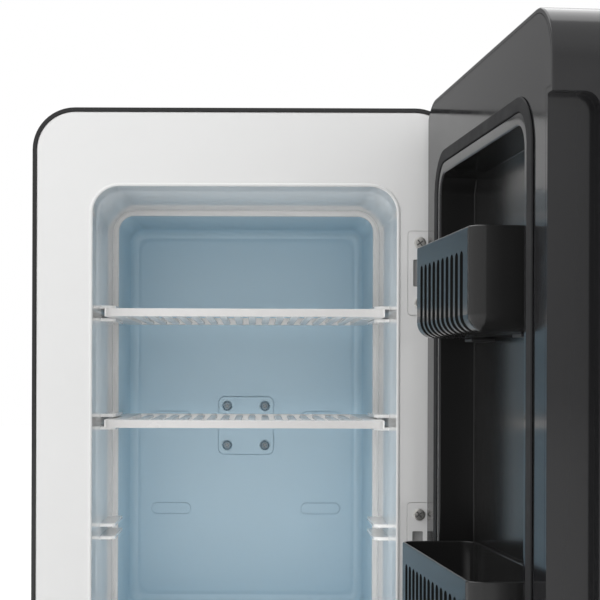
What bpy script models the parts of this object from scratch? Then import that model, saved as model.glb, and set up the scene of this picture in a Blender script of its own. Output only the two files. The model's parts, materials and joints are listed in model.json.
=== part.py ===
"""A small thermoelectric mini fridge with its door standing open.

Metres, +Z up.  The origin is the centre of the cabinet's underside.  The front faces -Y, and the
door hangs on the right, +X, side.  Depths in this file are counted from the cabinet's front face:
every piece hangs from the "cabinet" empty, which carries the front face to its place.
The door pieces are drawn with the door shut, and the "door" empty swings them open.
"""
import math

import bmesh
import bpy
from mathutils import Matrix, Vector

MM = 0.001

# Driving dimensions, in millimetres.  Depth 0 is the cabinet's front face.
WIDTH = 290.0
HEIGHT = 436.0
DEPTH = 332.0
OUTLINE_RADIUS = 29.0
SHELL_WALL = 2.65
GAP = 0.3
CORNER_STEPS = 6
ROUND_STEPS = 20

# The mouth of the cabinet, its straight throat, and the metal tub behind it.
MOUTH_HALF = 103.8
MOUTH_LOW = 53.8
MOUTH_HIGH = 382.3
MOUTH_RADIUS = 18.4
FACE_THICK = 2.5
BEAD_WIDE = 2.3
BEAD_HIGH = 0.8
THROAT_WALL = 2.2
THROAT_DEPTH = 143.0
STEP_IN = 4.4
TUB_RADIUS = 12.0
TUB_BACK = 248.0
TUB_WALL = 1.5
TUB_FILLET = 8.0
FOAM_BACK = 272.0

# Shelf rails and shelves.
RAIL_LEVELS = {"upper": 297.7, "middle": 219.7, "lower": 140.6}
RAIL_FRONT = 54.0
RAIL_BACK = 114.0
RAIL_REACH = 10.5
RAIL_LIP = 2.2
RAIL_SLOT = 7.0
RAIL_WEB = 1.5
SHELF_HALF = 98.2
SHELF_FRONT = 22.0
SHELF_BACK = 195.0
SHELF_THICK = 5.5
SHELF_BAR = 9.0
SLAT_COUNT = 18
SLAT_PITCH = 10.3
SLAT_GAP = 3.4
SLAT_DROP = 1.0

# Cooling unit on the back wall.
COLD_Z = 210.6
COLD_PLATE = (46.2, 48.4)
COLD_PLATE_THICK = 1.6
COLD_SCREWS = (32.2, 33.5)
BLOCK_SIDE = 40.0
PELTIER_THICK = 4.0
SINK_WIDE = 110.0
SINK_HIGH = 100.0
SINK_BASE = 4.5
SINK_DEPTH = 26.0
SINK_FINS = 13
FIN_THICK = 2.0
FAN_SIDE = 92.0
FAN_DEPTH = 25.0
FAN_FRONT = 300.0
FAN_BORE = 43.0
HUB_RADIUS = 17.0
BLADE_COUNT = 7

# Rear compartment.
BULKHEAD_THICK = 2.0
COVER_THICK = 2.5
COVER_BACK = 331.0
COVER_SCREW_X = 118.0
COVER_SCREW_Z = (34.0, 402.0)
VENT_WIDE = 150.0
VENT_HIGH = 4.6
VENT_PITCH = 9.6
INLET_AT = (-92.0, 66.0)
SWITCH_AT = (-48.0, 66.0)

# Feet.
FOOT_RADIUS = 11.0
FOOT_HIGH = 8.0
FOOT_X = 108.0
FOOT_DEPTHS = (34.0, 298.0)
GROOVE_HALF = (92.0, 116.0)
GROOVE_WIDE = 1.5
GROOVE_DEEP = 0.6

# Door, drawn shut.
DOOR_THICK = 42.0
DOOR_GAP = 2.3
DOOR_OPEN_DEG = 95.1
PIVOT_X = 135.0
PIVOT_BACK = 11.3
HINGE_EDGE_RADIUS = 9.0
LINER_THICK = 2.0
RIM_HALF = 103.8
RIM_LOW = 46.0
RIM_HIGH = 390.0
RIM_PROUD = 0.7
RECESS_HALF = 98.4
RECESS_LOW = 53.0
RECESS_HIGH = 383.0
RECESS_RADIUS = 14.0
RECESS_DEEP = 23.0
GASKET_HALF = 113.4
GASKET_LOW = 38.0
GASKET_HIGH = 398.0
GASKET_PROUD = 1.2
GRIP_DEEP = 8.3
GRIP_WIDE = 23.5
GRIP_LOW = 45.9
GRIP_HIGH = 390.1
GRIP_RADIUS = 8.0

# Door bins: half width, front face past the door's inner face, low, high, front corner, slots.
BIN_WALL = 2.2
BIN_BACK_RADIUS = 11.0
BIN_FLOOR_RADIUS = 10.0
BIN_SLOT_WIDE = 7.2
BIN_SLOT_TOP = 12.3
BIN_SLOT_UNDER = 14.0
BINS = {
    "upper_bin": {
        "half": 73.5, "front": 22.0, "low": 276.7, "high": 333.2, "corner": 8.5, "slots": 10, "pitch": 11.6,
    },
    "lower_bin": {
        "half": 92.0, "front": 27.0, "low": 66.0, "high": 147.8, "corner": 8.5, "slots": 14, "pitch": 11.0,
    },
}
LEDGE = (18.0, 5.0, 1.8)
LEDGE_X = 55.0

# Hinges.
HINGE_LEVELS = {"upper": 323.55, "lower": 138.4}
HINGE_PLATE_LEFT = 111.5
HINGE_PLATE_RIGHT = 139.0
HINGE_PLATE_HIGH = 57.0
HINGE_PLATE_PROUD = 0.5
HINGE_PLATE_SUNK = 0.8
HINGE_WINDOW = (115.0, 122.2, 18.3)
HINGE_SCREW_X = 119.6
HINGE_SCREW_SPACING = 41.0
HINGE_SCREW_HEAD = 4.0
EAR_RADIUS = 6.0
EAR_THICK = 4.0
PIN_RADIUS = 2.0
PIN_LONG = 36.0
KNUCKLE_LONG = 40.0

FACE_Y = -DEPTH / 2.0
DOOR_INNER = -DOOR_GAP
DOOR_OUTER = DOOR_INNER - DOOR_THICK
PIVOT_Y = DOOR_INNER - PIVOT_BACK


# ---------------------------------------------------------------- scene and materials

def clear_scene():
    """Remove what the scene holds."""
    for item in list(bpy.data.objects):
        bpy.data.objects.remove(item, do_unlink=True)
    for mesh in list(bpy.data.meshes):
        bpy.data.meshes.remove(mesh)


def make_collection(name):
    """A new collection under the scene."""
    collection = bpy.data.collections.new(name)
    bpy.context.scene.collection.children.link(collection)
    return collection


def plain_material(name, colour, roughness, metallic=0.0):
    """A Principled material of one colour."""
    material = bpy.data.materials.new(name)
    material.use_nodes = True
    shader = material.node_tree.nodes["Principled BSDF"]
    shader.inputs["Base Color"].default_value = (*colour, 1.0)
    shader.inputs["Roughness"].default_value = roughness
    shader.inputs["Metallic"].default_value = metallic
    material.diffuse_color = (*colour, 1.0)
    return material


clear_scene()
PARTS = make_collection("mini_fridge")
CUTTERS = make_collection("cutters")

GLOSS_BLACK = plain_material("gloss_black", (0.012, 0.012, 0.013), 0.12)
GLOSS_WHITE = plain_material("gloss_white", (0.80, 0.81, 0.82), 0.15)
LINER_METAL = plain_material("liner_metal", (0.45, 0.55, 0.62), 0.30, 0.6)
CLEAR_WHITE = plain_material("shelf_white", (0.75, 0.77, 0.79), 0.25)
FOAM = plain_material("foam", (0.80, 0.72, 0.50), 0.90)
RUBBER = plain_material("rubber", (0.03, 0.03, 0.03), 0.70)
STEEL = plain_material("steel", (0.60, 0.61, 0.62), 0.30, 1.0)
ALUMINIUM = plain_material("aluminium", (0.70, 0.71, 0.72), 0.35, 1.0)
BLACK_PLASTIC = plain_material("black_plastic", (0.02, 0.02, 0.02), 0.45)
CERAMIC = plain_material("ceramic", (0.85, 0.85, 0.82), 0.50)
BOARD_GREEN = plain_material("board_green", (0.03, 0.16, 0.06), 0.45)
HINGE_WHITE = plain_material("hinge_white", (0.78, 0.79, 0.80), 0.25)


def make_empty(name, location, parent=None):
    """An empty that carries pieces; the location is in the parent's frame, in metres."""
    empty = bpy.data.objects.new(name, None)
    empty.location = location
    empty.parent = parent
    PARTS.objects.link(empty)
    return empty


CABINET = make_empty("cabinet_frame", (0.0, FACE_Y * MM, 0.0))
DOOR = make_empty("door_hinge_axis", (PIVOT_X * MM, PIVOT_Y * MM, 0.0), CABINET)
DOOR.rotation_euler = (0.0, 0.0, math.radians(DOOR_OPEN_DEG))
CARRIERS = {
    "cabinet": (CABINET, Vector((0.0, 0.0, 0.0))),
    "door": (DOOR, Vector((PIVOT_X, PIVOT_Y, 0.0))),
}


def add_carrier(name, point, on="cabinet"):
    """A carrier empty at a point (mm) for a piece that moves on its own."""
    parent, base = CARRIERS[on]
    spot = Vector(point)
    empty = make_empty(name + "_axis", (spot - base) * MM, parent)
    CARRIERS[name] = (empty, spot)


# ---------------------------------------------------------------- outlines, all in millimetres

def arc(centre, radius, start, end, steps):
    """Points on an arc, angles in degrees."""
    points = []
    for i in range(steps + 1):
        angle = math.radians(start + (end - start) * i / steps)
        points.append((centre[0] + radius * math.cos(angle), centre[1] + radius * math.sin(angle)))
    return points


def rounded_box(u_low, u_high, v_low, v_high, radius, steps=CORNER_STEPS, low_radius=None):
    """A rectangle with round corners; low_radius, where given, is for the two corners at v_low."""
    low = radius if low_radius is None else low_radius
    points = arc((u_high - radius, v_high - radius), radius, 0, 90, steps)
    points += arc((u_low + radius, v_high - radius), radius, 90, 180, steps)
    points += arc((u_low + low, v_low + low), low, 180, 270, steps)
    points += arc((u_high - low, v_low + low), low, 270, 360, steps)
    return points


def centred_box(half, low, high, radius, steps=CORNER_STEPS):
    """A rounded rectangle that is centred on the fridge's middle plane."""
    return rounded_box(-half, half, low, high, radius, steps)


def body_outline(inset):
    """The fridge's front outline, drawn in by inset."""
    return centred_box(WIDTH / 2 - inset, inset, HEIGHT - inset, OUTLINE_RADIUS - inset)


def mouth_outline(grow):
    """The cabinet mouth's outline, grown by grow."""
    return centred_box(MOUTH_HALF + grow, MOUTH_LOW - grow, MOUTH_HIGH + grow, MOUTH_RADIUS + grow)


def tub_outline(grow):
    """The metal tub's inner outline, grown by grow."""
    low = MOUTH_LOW + STEP_IN - grow
    high = MOUTH_HIGH - STEP_IN + grow
    return centred_box(MOUTH_HALF - STEP_IN + grow, low, high, TUB_RADIUS + grow)


def circle(centre, radius, steps=ROUND_STEPS):
    """A full circle."""
    return arc(centre, radius, 0, 360 - 360 / steps, steps - 1)


# ---------------------------------------------------------------- makers

TURNS = {
    "Z": Matrix.Identity(4),
    "Y": Matrix(((1, 0, 0, 0), (0, 0, -1, 0), (0, 1, 0, 0), (0, 0, 0, 1))),
    "X": Matrix(((0, 0, 1, 0), (1, 0, 0, 0), (0, 1, 0, 0), (0, 0, 0, 1))),
}
AXES = {"X": Vector((1, 0, 0)), "Y": Vector((0, 1, 0)), "Z": Vector((0, 0, 1))}


def place(name, mesh, material, carrier):
    """Link a mesh drawn in the cabinet's frame as a piece, or as a cutter if it has no material."""
    item = bpy.data.objects.new(name, mesh)
    parent, base = CARRIERS[carrier]
    item.parent = parent
    mesh.transform(Matrix.Translation(-base * MM))
    if material is None:
        CUTTERS.objects.link(item)
        item.hide_render = True
        item.display_type = "WIRE"
    else:
        PARTS.objects.link(item)
        mesh.materials.clear()
        mesh.materials.append(material)
    return item


def smooth(item, degrees=35):
    """Shade the round stretches smooth and keep the edges."""
    item.data.shade_smooth()
    item.data.set_sharp_from_angle(angle=math.radians(degrees))


def tidy_mesh(mesh):
    """Weld a mesh's loose caps and point its faces out."""
    work = bmesh.new()
    work.from_mesh(mesh)
    bmesh.ops.remove_doubles(work, verts=work.verts, dist=0.00001)
    bmesh.ops.recalc_face_normals(work, faces=work.faces)
    work.to_mesh(mesh)
    work.free()


def extrude(name, outlines, low, high, along, material=None, carrier="cabinet"):
    """Extrude flat outlines from low to high along an axis; an outline inside another is a hole.

    Outlines are (x, z) along Y, (x, y) along Z and (y, z) along X.
    """
    curve = bpy.data.curves.new(name + "_outline", "CURVE")
    curve.dimensions = "2D"
    curve.fill_mode = "BOTH"
    curve.extrude = (high - low) / 2 * MM
    for outline in outlines:
        spline = curve.splines.new("POLY")
        spline.points.add(len(outline) - 1)
        for point, (u, v) in zip(spline.points, outline):
            point.co = (u * MM, v * MM, 0.0, 1.0)
        spline.use_cyclic_u = True
    guide = bpy.data.objects.new(name + "_guide", curve)
    PARTS.objects.link(guide)
    guide.matrix_world = Matrix.Translation(AXES[along] * (low + high) / 2 * MM) @ TURNS[along]
    bpy.context.view_layer.update()
    mesh = bpy.data.meshes.new_from_object(guide.evaluated_get(bpy.context.evaluated_depsgraph_get()))
    mesh.transform(guide.matrix_world)
    bpy.data.objects.remove(guide, do_unlink=True)
    bpy.data.curves.remove(curve)
    mesh.name = name
    tidy_mesh(mesh)
    item = place(name, mesh, material, carrier)
    smooth(item)
    return item


def loft(name, sections, closed, material=None, carrier="cabinet"):
    """Skin a row of (outline, level, axis) sections with the same number of points.

    A closed loft joins the last section to the first, and an open one caps both ends.
    """
    work = bmesh.new()
    rings = []
    for outline, level, axis in sections:
        turn = TURNS[axis]
        ring = []
        for u, v in outline:
            spot = turn @ Vector((u, v, 0.0)) + AXES[axis] * level
            ring.append(work.verts.new(spot * MM))
        rings.append(ring)
    count = len(rings[0])
    pairs = list(zip(rings, rings[1:]))
    if closed:
        pairs.append((rings[-1], rings[0]))
    else:
        work.faces.new(rings[0])
        work.faces.new(rings[-1])
    for first, second in pairs:
        for i in range(count):
            j = (i + 1) % count
            work.faces.new((first[i], first[j], second[j], second[i]))
    bmesh.ops.recalc_face_normals(work, faces=work.faces)
    mesh = bpy.data.meshes.new(name)
    work.to_mesh(mesh)
    work.free()
    item = place(name, mesh, material, carrier)
    smooth(item)
    return item


def block(name, low, high, material=None, carrier="cabinet"):
    """A box between two corners."""
    work = bmesh.new()
    bmesh.ops.create_cube(work, size=1.0)
    size = [(b - a) * MM for a, b in zip(low, high)]
    middle = [(a + b) / 2 * MM for a, b in zip(low, high)]
    bmesh.ops.scale(work, vec=size, verts=work.verts)
    bmesh.ops.translate(work, vec=middle, verts=work.verts)
    mesh = bpy.data.meshes.new(name)
    work.to_mesh(mesh)
    work.free()
    return place(name, mesh, material, carrier)


def rod(name, start, end, radius, material=None, carrier="cabinet", steps=ROUND_STEPS):
    """A cylinder between two points."""
    first = Vector(start)
    run = Vector(end) - first
    work = bmesh.new()
    bmesh.ops.create_cone(
        work, cap_ends=True, segments=steps, radius1=radius * MM, radius2=radius * MM,
        depth=run.length * MM,
    )
    turn = run.to_track_quat("Z", "Y").to_matrix().to_4x4()
    bmesh.ops.transform(work, matrix=Matrix.Translation((first + run / 2) * MM) @ turn, verts=work.verts)
    mesh = bpy.data.meshes.new(name)
    work.to_mesh(mesh)
    work.free()
    item = place(name, mesh, material, carrier)
    smooth(item)
    return item


def turned(name, profile, start, direction, material, carrier="cabinet", steps=ROUND_STEPS):
    """A solid of revolution: profile is (radius, height) from the axis down the outer side.

    The axis runs from start along direction.
    """
    mesh = bpy.data.meshes.new(name)
    points = [(r * MM, 0.0, h * MM) for r, h in profile]
    edges = [(i, i + 1) for i in range(len(points) - 1)]
    mesh.from_pydata(points, edges, [])
    item = bpy.data.objects.new(name, mesh)
    PARTS.objects.link(item)
    screw = item.modifiers.new("turn", "SCREW")
    screw.steps = steps
    screw.render_steps = steps
    screw.use_merge_vertices = True
    screw.merge_threshold = 0.000005
    bpy.context.view_layer.update()
    solid = bpy.data.meshes.new_from_object(item.evaluated_get(bpy.context.evaluated_depsgraph_get()))
    bpy.data.objects.remove(item, do_unlink=True)
    solid.name = name
    tidy_mesh(solid)
    turn = Vector(direction).to_track_quat("Z", "Y").to_matrix().to_4x4()
    solid.transform(Matrix.Translation(Vector(start) * MM) @ turn)
    piece = place(name, solid, material, carrier)
    smooth(piece)
    return piece


def boolean(item, other, operation):
    """Add a Boolean modifier."""
    change = item.modifiers.new(operation.lower(), "BOOLEAN")
    change.operation = operation
    change.solver = "EXACT"
    change.object = other


def cut(item, *cutters):
    """Take cutters away from a piece."""
    for cutter in cutters:
        boolean(item, cutter, "DIFFERENCE")


def join(item, *others):
    """Fuse helper shapes into a piece."""
    for other in others:
        boolean(item, other, "UNION")


def repeat(cutter, count, step):
    """Repeat a cutter along X, centred on where it stands."""
    row = cutter.modifiers.new("row", "ARRAY")
    row.count = count
    row.use_relative_offset = False
    row.use_constant_offset = True
    row.constant_offset_displace = (step * MM, 0.0, 0.0)
    cutter.data.transform(Matrix.Translation((-(count - 1) * step / 2 * MM, 0.0, 0.0)))


def machine_screw(name, head_centre, direction, head, shank, carrier="cabinet"):
    """A pan head screw; head is (radius, height), shank (radius, length), direction out of the head."""
    profile = [
        (0.0, head[1]),
        (head[0] * 0.55, head[1]),
        (head[0], head[1] * 0.35),
        (head[0], 0.0),
        (shank[0], 0.0),
        (shank[0], -shank[1]),
        (0.0, -shank[1]),
    ]
    return turned(name, profile, head_centre, direction, STEEL, carrier, 10)


# ---------------------------------------------------------------- cabinet

def make_outer_shell():
    """The black casing: a rounded tube, open at the front and the back, with a groove underneath."""
    outlines = [body_outline(0.0), body_outline(SHELL_WALL)]
    shell = extrude("outer_shell", outlines, 0.0, DEPTH, "Y", GLOSS_BLACK)
    half_x, half_y = GROOVE_HALF
    grooves = []
    for inset in (0.0, GROOVE_WIDE):
        low = DEPTH / 2 - half_y + inset
        high = DEPTH / 2 + half_y - inset
        grooves.append(rounded_box(-half_x + inset, half_x - inset, low, high, 8.0 - inset, 3))
    cut(shell, extrude("underside_groove", grooves, -3.0, GROOVE_DEEP, "Z"))


def hinge_plate_pocket(side, level):
    """The shallow pocket in the front face that a hinge plate lies in."""
    half = HINGE_PLATE_HIGH / 2 + GAP
    left = HINGE_PLATE_LEFT - GAP
    right = HINGE_PLATE_RIGHT + GAP
    outline = rounded_box(left, right, level - half, level + half, 2.0 + GAP, 3)
    return extrude(side + "_pocket", [outline], -3.0, HINGE_PLATE_SUNK + GAP, "Y")


def hinge_screw_spots(level):
    """The heights of a hinge plate's two screws."""
    return {"top": level + HINGE_SCREW_SPACING / 2, "bottom": level - HINGE_SCREW_SPACING / 2}


def make_front_frame():
    """The white front: its face, the bead round the mouth, the throat and the step behind it."""
    edge = body_outline(SHELL_WALL + GAP)
    back = THROAT_DEPTH + THROAT_WALL
    sections = [
        (edge, 0.0, "Y"),
        (mouth_outline(BEAD_WIDE), 0.0, "Y"),
        (mouth_outline(BEAD_WIDE * 0.8), -BEAD_HIGH, "Y"),
        (mouth_outline(BEAD_WIDE * 0.3), -BEAD_HIGH, "Y"),
        (mouth_outline(0.0), -BEAD_HIGH / 4, "Y"),
        (mouth_outline(0.0), THROAT_DEPTH, "Y"),
        (tub_outline(0.0), THROAT_DEPTH, "Y"),
        (tub_outline(0.0), back, "Y"),
        (mouth_outline(THROAT_WALL), back, "Y"),
        (mouth_outline(THROAT_WALL), FACE_THICK, "Y"),
        (edge, FACE_THICK, "Y"),
    ]
    frame = loft("front_frame", sections, True, GLOSS_WHITE)
    for side, level in HINGE_LEVELS.items():
        cut(frame, hinge_plate_pocket(side, level))
        for spot, height in hinge_screw_spots(level).items():
            start = (HINGE_SCREW_X, -4.0, height)
            end = (HINGE_SCREW_X, FACE_THICK + 2.0, height)
            cut(frame, rod(f"{side}_{spot}_screw_hole", start, end, 1.9, steps=12))


def fillet_sections(wall, back):
    """Sections round the tub's back edge, from the flat back to the side wall."""
    sections = []
    steps = 3
    for i in range(steps + 1):
        angle = math.radians(90.0 * i / steps)
        inward = TUB_FILLET * (1 - math.sin(angle)) - wall
        level = back - TUB_FILLET * (1 - math.cos(angle))
        sections.append((tub_outline(-inward), level, "Y"))
    return sections


def make_inner_liner():
    """The metal tub at the back of the cavity."""
    flange = THROAT_DEPTH + THROAT_WALL + GAP
    sections = fillet_sections(0.0, TUB_BACK)
    sections += [
        (tub_outline(0.0), flange, "Y"),
        (tub_outline(STEP_IN + THROAT_WALL - 1.0), flange, "Y"),
        (tub_outline(STEP_IN + THROAT_WALL - 1.0), flange + TUB_WALL, "Y"),
        (tub_outline(TUB_WALL), flange + TUB_WALL, "Y"),
    ]
    sections += fillet_sections(TUB_WALL, TUB_BACK + TUB_WALL)[::-1]
    liner = loft("inner_liner", sections, False, LINER_METAL)
    for spot, (x, z) in cold_screw_spots().items():
        start = (x, TUB_BACK - 4.0, z)
        end = (x, TUB_BACK + TUB_WALL + 2.0, z)
        cut(liner, rod(f"liner_hole_{spot}", start, end, 1.8, steps=12))


def make_foam():
    """The insulation between the casing and the cavity, open behind the cold block."""
    hole = BLOCK_SIDE / 2 + GAP
    outer = body_outline(SHELL_WALL + GAP)
    front = FACE_THICK + GAP
    ledge = THROAT_DEPTH + THROAT_WALL + TUB_WALL + 2 * GAP
    back = TUB_BACK + TUB_WALL + GAP
    block_hole = centred_box(hole, COLD_Z - hole, COLD_Z + hole, 2.0)
    sections = [
        (outer, front, "Y"),
        (mouth_outline(THROAT_WALL + GAP), front, "Y"),
        (mouth_outline(THROAT_WALL + GAP), ledge, "Y"),
        (tub_outline(TUB_WALL + GAP), ledge, "Y"),
        (tub_outline(TUB_WALL + GAP), back, "Y"),
        (block_hole, back, "Y"),
        (block_hole, FOAM_BACK, "Y"),
        (outer, FOAM_BACK, "Y"),
    ]
    loft("foam_insulation", sections, True, FOAM)


def make_rails():
    """Three pairs of C-shaped shelf rails on the throat's side walls."""
    slot = RAIL_SLOT / 2
    outer = slot + RAIL_LIP
    wall = MOUTH_HALF - GAP
    tip = MOUTH_HALF - RAIL_REACH
    web = wall - RAIL_WEB
    for level_name, level in RAIL_LEVELS.items():
        for side, sign in (("left", -1), ("right", 1)):
            corners = [
                (wall, -outer), (wall, outer), (tip, outer), (tip, slot),
                (web, slot), (web, -slot), (tip, -slot), (tip, -outer),
            ]
            outline = [(sign * x, level + z) for x, z in corners]
            name = f"{side}_{level_name}_rail"
            extrude(name, [outline], RAIL_FRONT, RAIL_BACK, "Y", GLOSS_WHITE)


def make_shelf(name, level):
    """A slatted shelf: a frame of bars with slats that run front to back."""
    low = level - RAIL_SLOT / 2 + GAP
    outline = rounded_box(-SHELF_HALF, SHELF_HALF, SHELF_FRONT, SHELF_BACK, 4.0, 3)
    shelf = extrude(name, [outline], low, low + SHELF_THICK, "Z", CLEAR_WHITE, name)
    front = SHELF_FRONT + SHELF_BAR
    back = SHELF_BACK - SHELF_BAR
    slat_field = SLAT_COUNT * SLAT_PITCH - SLAT_GAP
    top = low + SHELF_THICK
    corner = (slat_field / 2, back, top + 2.0)
    cut(shelf, block(name + "_slat_drop", (-corner[0], front, top - SLAT_DROP), corner, None, name))
    slot_low = (-SLAT_GAP / 2, front, low - 2.0)
    slot_high = (SLAT_GAP / 2, back, top + 3.0)
    slots = block(name + "_slots", slot_low, slot_high, None, name)
    repeat(slots, SLAT_COUNT - 1, SLAT_PITCH)
    cut(shelf, slots)


# ---------------------------------------------------------------- cooling unit

def cold_screw_spots():
    """Where the four screws of the cold plate stand."""
    half_x = COLD_SCREWS[0] / 2
    half_z = COLD_SCREWS[1] / 2
    return {
        "top_left": (-half_x, COLD_Z + half_z),
        "top_right": (half_x, COLD_Z + half_z),
        "bottom_left": (-half_x, COLD_Z - half_z),
        "bottom_right": (half_x, COLD_Z - half_z),
    }


def make_cold_plate():
    """The plate on the tub's back wall, and the screws that draw it to the cold block."""
    back = TUB_BACK - GAP
    front = back - COLD_PLATE_THICK
    half_z = COLD_PLATE[1] / 2
    outlines = [centred_box(COLD_PLATE[0] / 2, COLD_Z - half_z, COLD_Z + half_z, 3.5, 4)]
    for spot in cold_screw_spots().values():
        outlines.append(circle(spot, 1.9, 12))
    extrude("cold_plate", outlines, front, back, "Y", LINER_METAL)
    for name, (x, z) in cold_screw_spots().items():
        machine_screw(f"cold_screw_{name}", (x, front - GAP, z), (0, -1, 0), (3.5, 1.1), (1.5, 13.0))


def make_cold_block():
    """The aluminium block that carries the cold through the insulation."""
    half = BLOCK_SIDE / 2
    front = TUB_BACK + TUB_WALL + GAP
    back = FOAM_BACK - PELTIER_THICK
    outlines = [centred_box(half, COLD_Z - half, COLD_Z + half, 1.5, 2)]
    item = extrude("cold_block", outlines, front, back, "Y", ALUMINIUM)
    for spot, (x, z) in cold_screw_spots().items():
        cut(item, rod(f"block_hole_{spot}", (x, front - 2.0, z), (x, back - 3.0, z), 1.8, steps=12))
    front = FOAM_BACK - PELTIER_THICK + GAP
    outlines = [centred_box(half - 1.0, COLD_Z - half + 1.0, COLD_Z + half - 1.0, 1.0, 2)]
    extrude("peltier_module", outlines, front, FOAM_BACK, "Y", CERAMIC)


def make_heat_sink():
    """A comb of upright fins on a base plate."""
    front = FOAM_BACK + GAP
    base = front + SINK_BASE
    tip = front + SINK_DEPTH
    step = (SINK_WIDE - FIN_THICK) / (SINK_FINS - 1)
    outline = [(-SINK_WIDE / 2, front), (SINK_WIDE / 2, front)]
    for i in reversed(range(SINK_FINS)):
        left = -SINK_WIDE / 2 + i * step
        right = left + FIN_THICK
        if i < SINK_FINS - 1:
            outline.append((right, base))
        outline += [(right, tip), (left, tip)]
        if i > 0:
            outline.append((left, base))
    half = SINK_HIGH / 2
    extrude("heat_sink", [outline], COLD_Z - half, COLD_Z + half, "Z", ALUMINIUM)


def make_fan():
    """The square fan behind the heat sink: its frame, and the rotor inside it."""
    half = FAN_SIDE / 2
    back = FAN_FRONT + FAN_DEPTH
    plate = back - 2.5
    middle = (0.0, COLD_Z)
    outlines = [centred_box(half, COLD_Z - half, COLD_Z + half, 5.0, 3), circle(middle, FAN_BORE, 32)]
    frame = extrude("fan_frame", outlines, FAN_FRONT, back, "Y", BLACK_PLASTIC)
    reach = FAN_BORE + 1.5
    cross = block("fan_strut_level", (-reach, plate, COLD_Z - 2.0), (reach, back, COLD_Z + 2.0))
    upright = block("fan_strut_upright", (-2.0, plate, COLD_Z - reach), (2.0, back, COLD_Z + reach))
    seat = rod("fan_motor_seat", (0, plate, COLD_Z), (0, back, COLD_Z), HUB_RADIUS + 1.0)
    join(frame, cross, upright, seat)
    hub_front = FAN_FRONT + 3.0
    hub_back = plate - 1.0
    rotor = rod("fan_rotor", (0, hub_front, COLD_Z), (0, hub_back, COLD_Z), HUB_RADIUS, BLACK_PLASTIC, "fan")
    blade_middle = (hub_front + hub_back) / 2
    radius = (HUB_RADIUS - 2.0 + FAN_BORE - 2.5) / 2
    reach = (FAN_BORE - 2.5 - HUB_RADIUS + 2.0) / 2
    for i in range(BLADE_COUNT):
        blade = block(f"fan_blade_{i + 1}", (-9.5, -0.8, -reach), (9.5, 0.8, reach), None, "fan")
        pitch = Matrix.Rotation(math.radians(34.0), 4, "Z")
        out = Matrix.Translation((0.0, 0.0, radius * MM))
        round_turn = Matrix.Rotation(2 * math.pi * i / BLADE_COUNT, 4, "Y")
        here = Matrix.Translation(CARRIERS["fan"][1] * MM)
        level = Matrix.Translation((0.0, (blade_middle - CARRIERS["fan"][1].y) * MM, 0.0))
        blade.data.transform(level @ round_turn @ out @ pitch @ here)
        join(rotor, blade)


# ---------------------------------------------------------------- rear compartment

def cover_screw_spots():
    """Where the rear cover's four screws stand."""
    spots = {}
    for level_name, z in zip(("bottom", "top"), COVER_SCREW_Z):
        for side, x in (("left", -COVER_SCREW_X), ("right", COVER_SCREW_X)):
            spots[f"{level_name}_{side}"] = (x, z)
    return spots


def make_rear_bulkhead():
    """The panel behind the insulation, with the posts that the rear cover is screwed to."""
    front = FOAM_BACK + GAP
    back = front + BULKHEAD_THICK
    post_end = COVER_BACK - COVER_THICK - GAP
    half_x = SINK_WIDE / 2 + 1.5
    half_z = SINK_HIGH / 2 + 1.5
    outlines = [
        body_outline(SHELL_WALL + GAP),
        centred_box(half_x, COLD_Z - half_z, COLD_Z + half_z, 2.0),
    ]
    panel = extrude("rear_bulkhead", outlines, front, back, "Y", BLACK_PLASTIC)
    for spot, (x, z) in cover_screw_spots().items():
        join(panel, rod(f"post_{spot}", (x, front + 0.5, z), (x, post_end, z), 4.5, steps=16))
        start = (x, post_end - 14.0, z)
        cut(panel, rod(f"post_hole_{spot}", start, (x, post_end + 2.0, z), 1.8, steps=12))


def vent_slots():
    """The rear cover's vent slots: a field behind the fan and a shorter one below it."""
    outlines = []
    half = VENT_WIDE / 2
    for middle, count in ((COLD_Z + 10.0, 13), (COLD_Z + 140.0, 6)):
        for i in range(count):
            z = middle + (i - (count - 1) / 2) * VENT_PITCH
            outlines.append(centred_box(half, z - VENT_HIGH / 2, z + VENT_HIGH / 2, VENT_HIGH / 2.05, 1))
    return outlines


def make_rear_cover():
    """The slotted panel that closes the back, and its screws."""
    front = COVER_BACK - COVER_THICK
    outlines = [body_outline(SHELL_WALL + GAP)] + vent_slots()
    inlet_x, inlet_z = INLET_AT
    switch_x, switch_z = SWITCH_AT
    outlines.append(rounded_box(inlet_x - 12.3, inlet_x + 12.3, inlet_z - 8.3, inlet_z + 8.3, 2.0, 2))
    outlines.append(rounded_box(switch_x - 9.8, switch_x + 9.8, switch_z - 6.8, switch_z + 6.8, 1.5, 2))
    for spot in cover_screw_spots().values():
        outlines.append(circle(spot, 1.9, 12))
    extrude("rear_cover", outlines, front, COVER_BACK, "Y", BLACK_PLASTIC)
    for name, (x, z) in cover_screw_spots().items():
        head = (x, COVER_BACK + GAP, z)
        machine_screw(f"cover_screw_{name}", head, (0, 1, 0), (3.6, 1.6), (1.5, 12.0))


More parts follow.
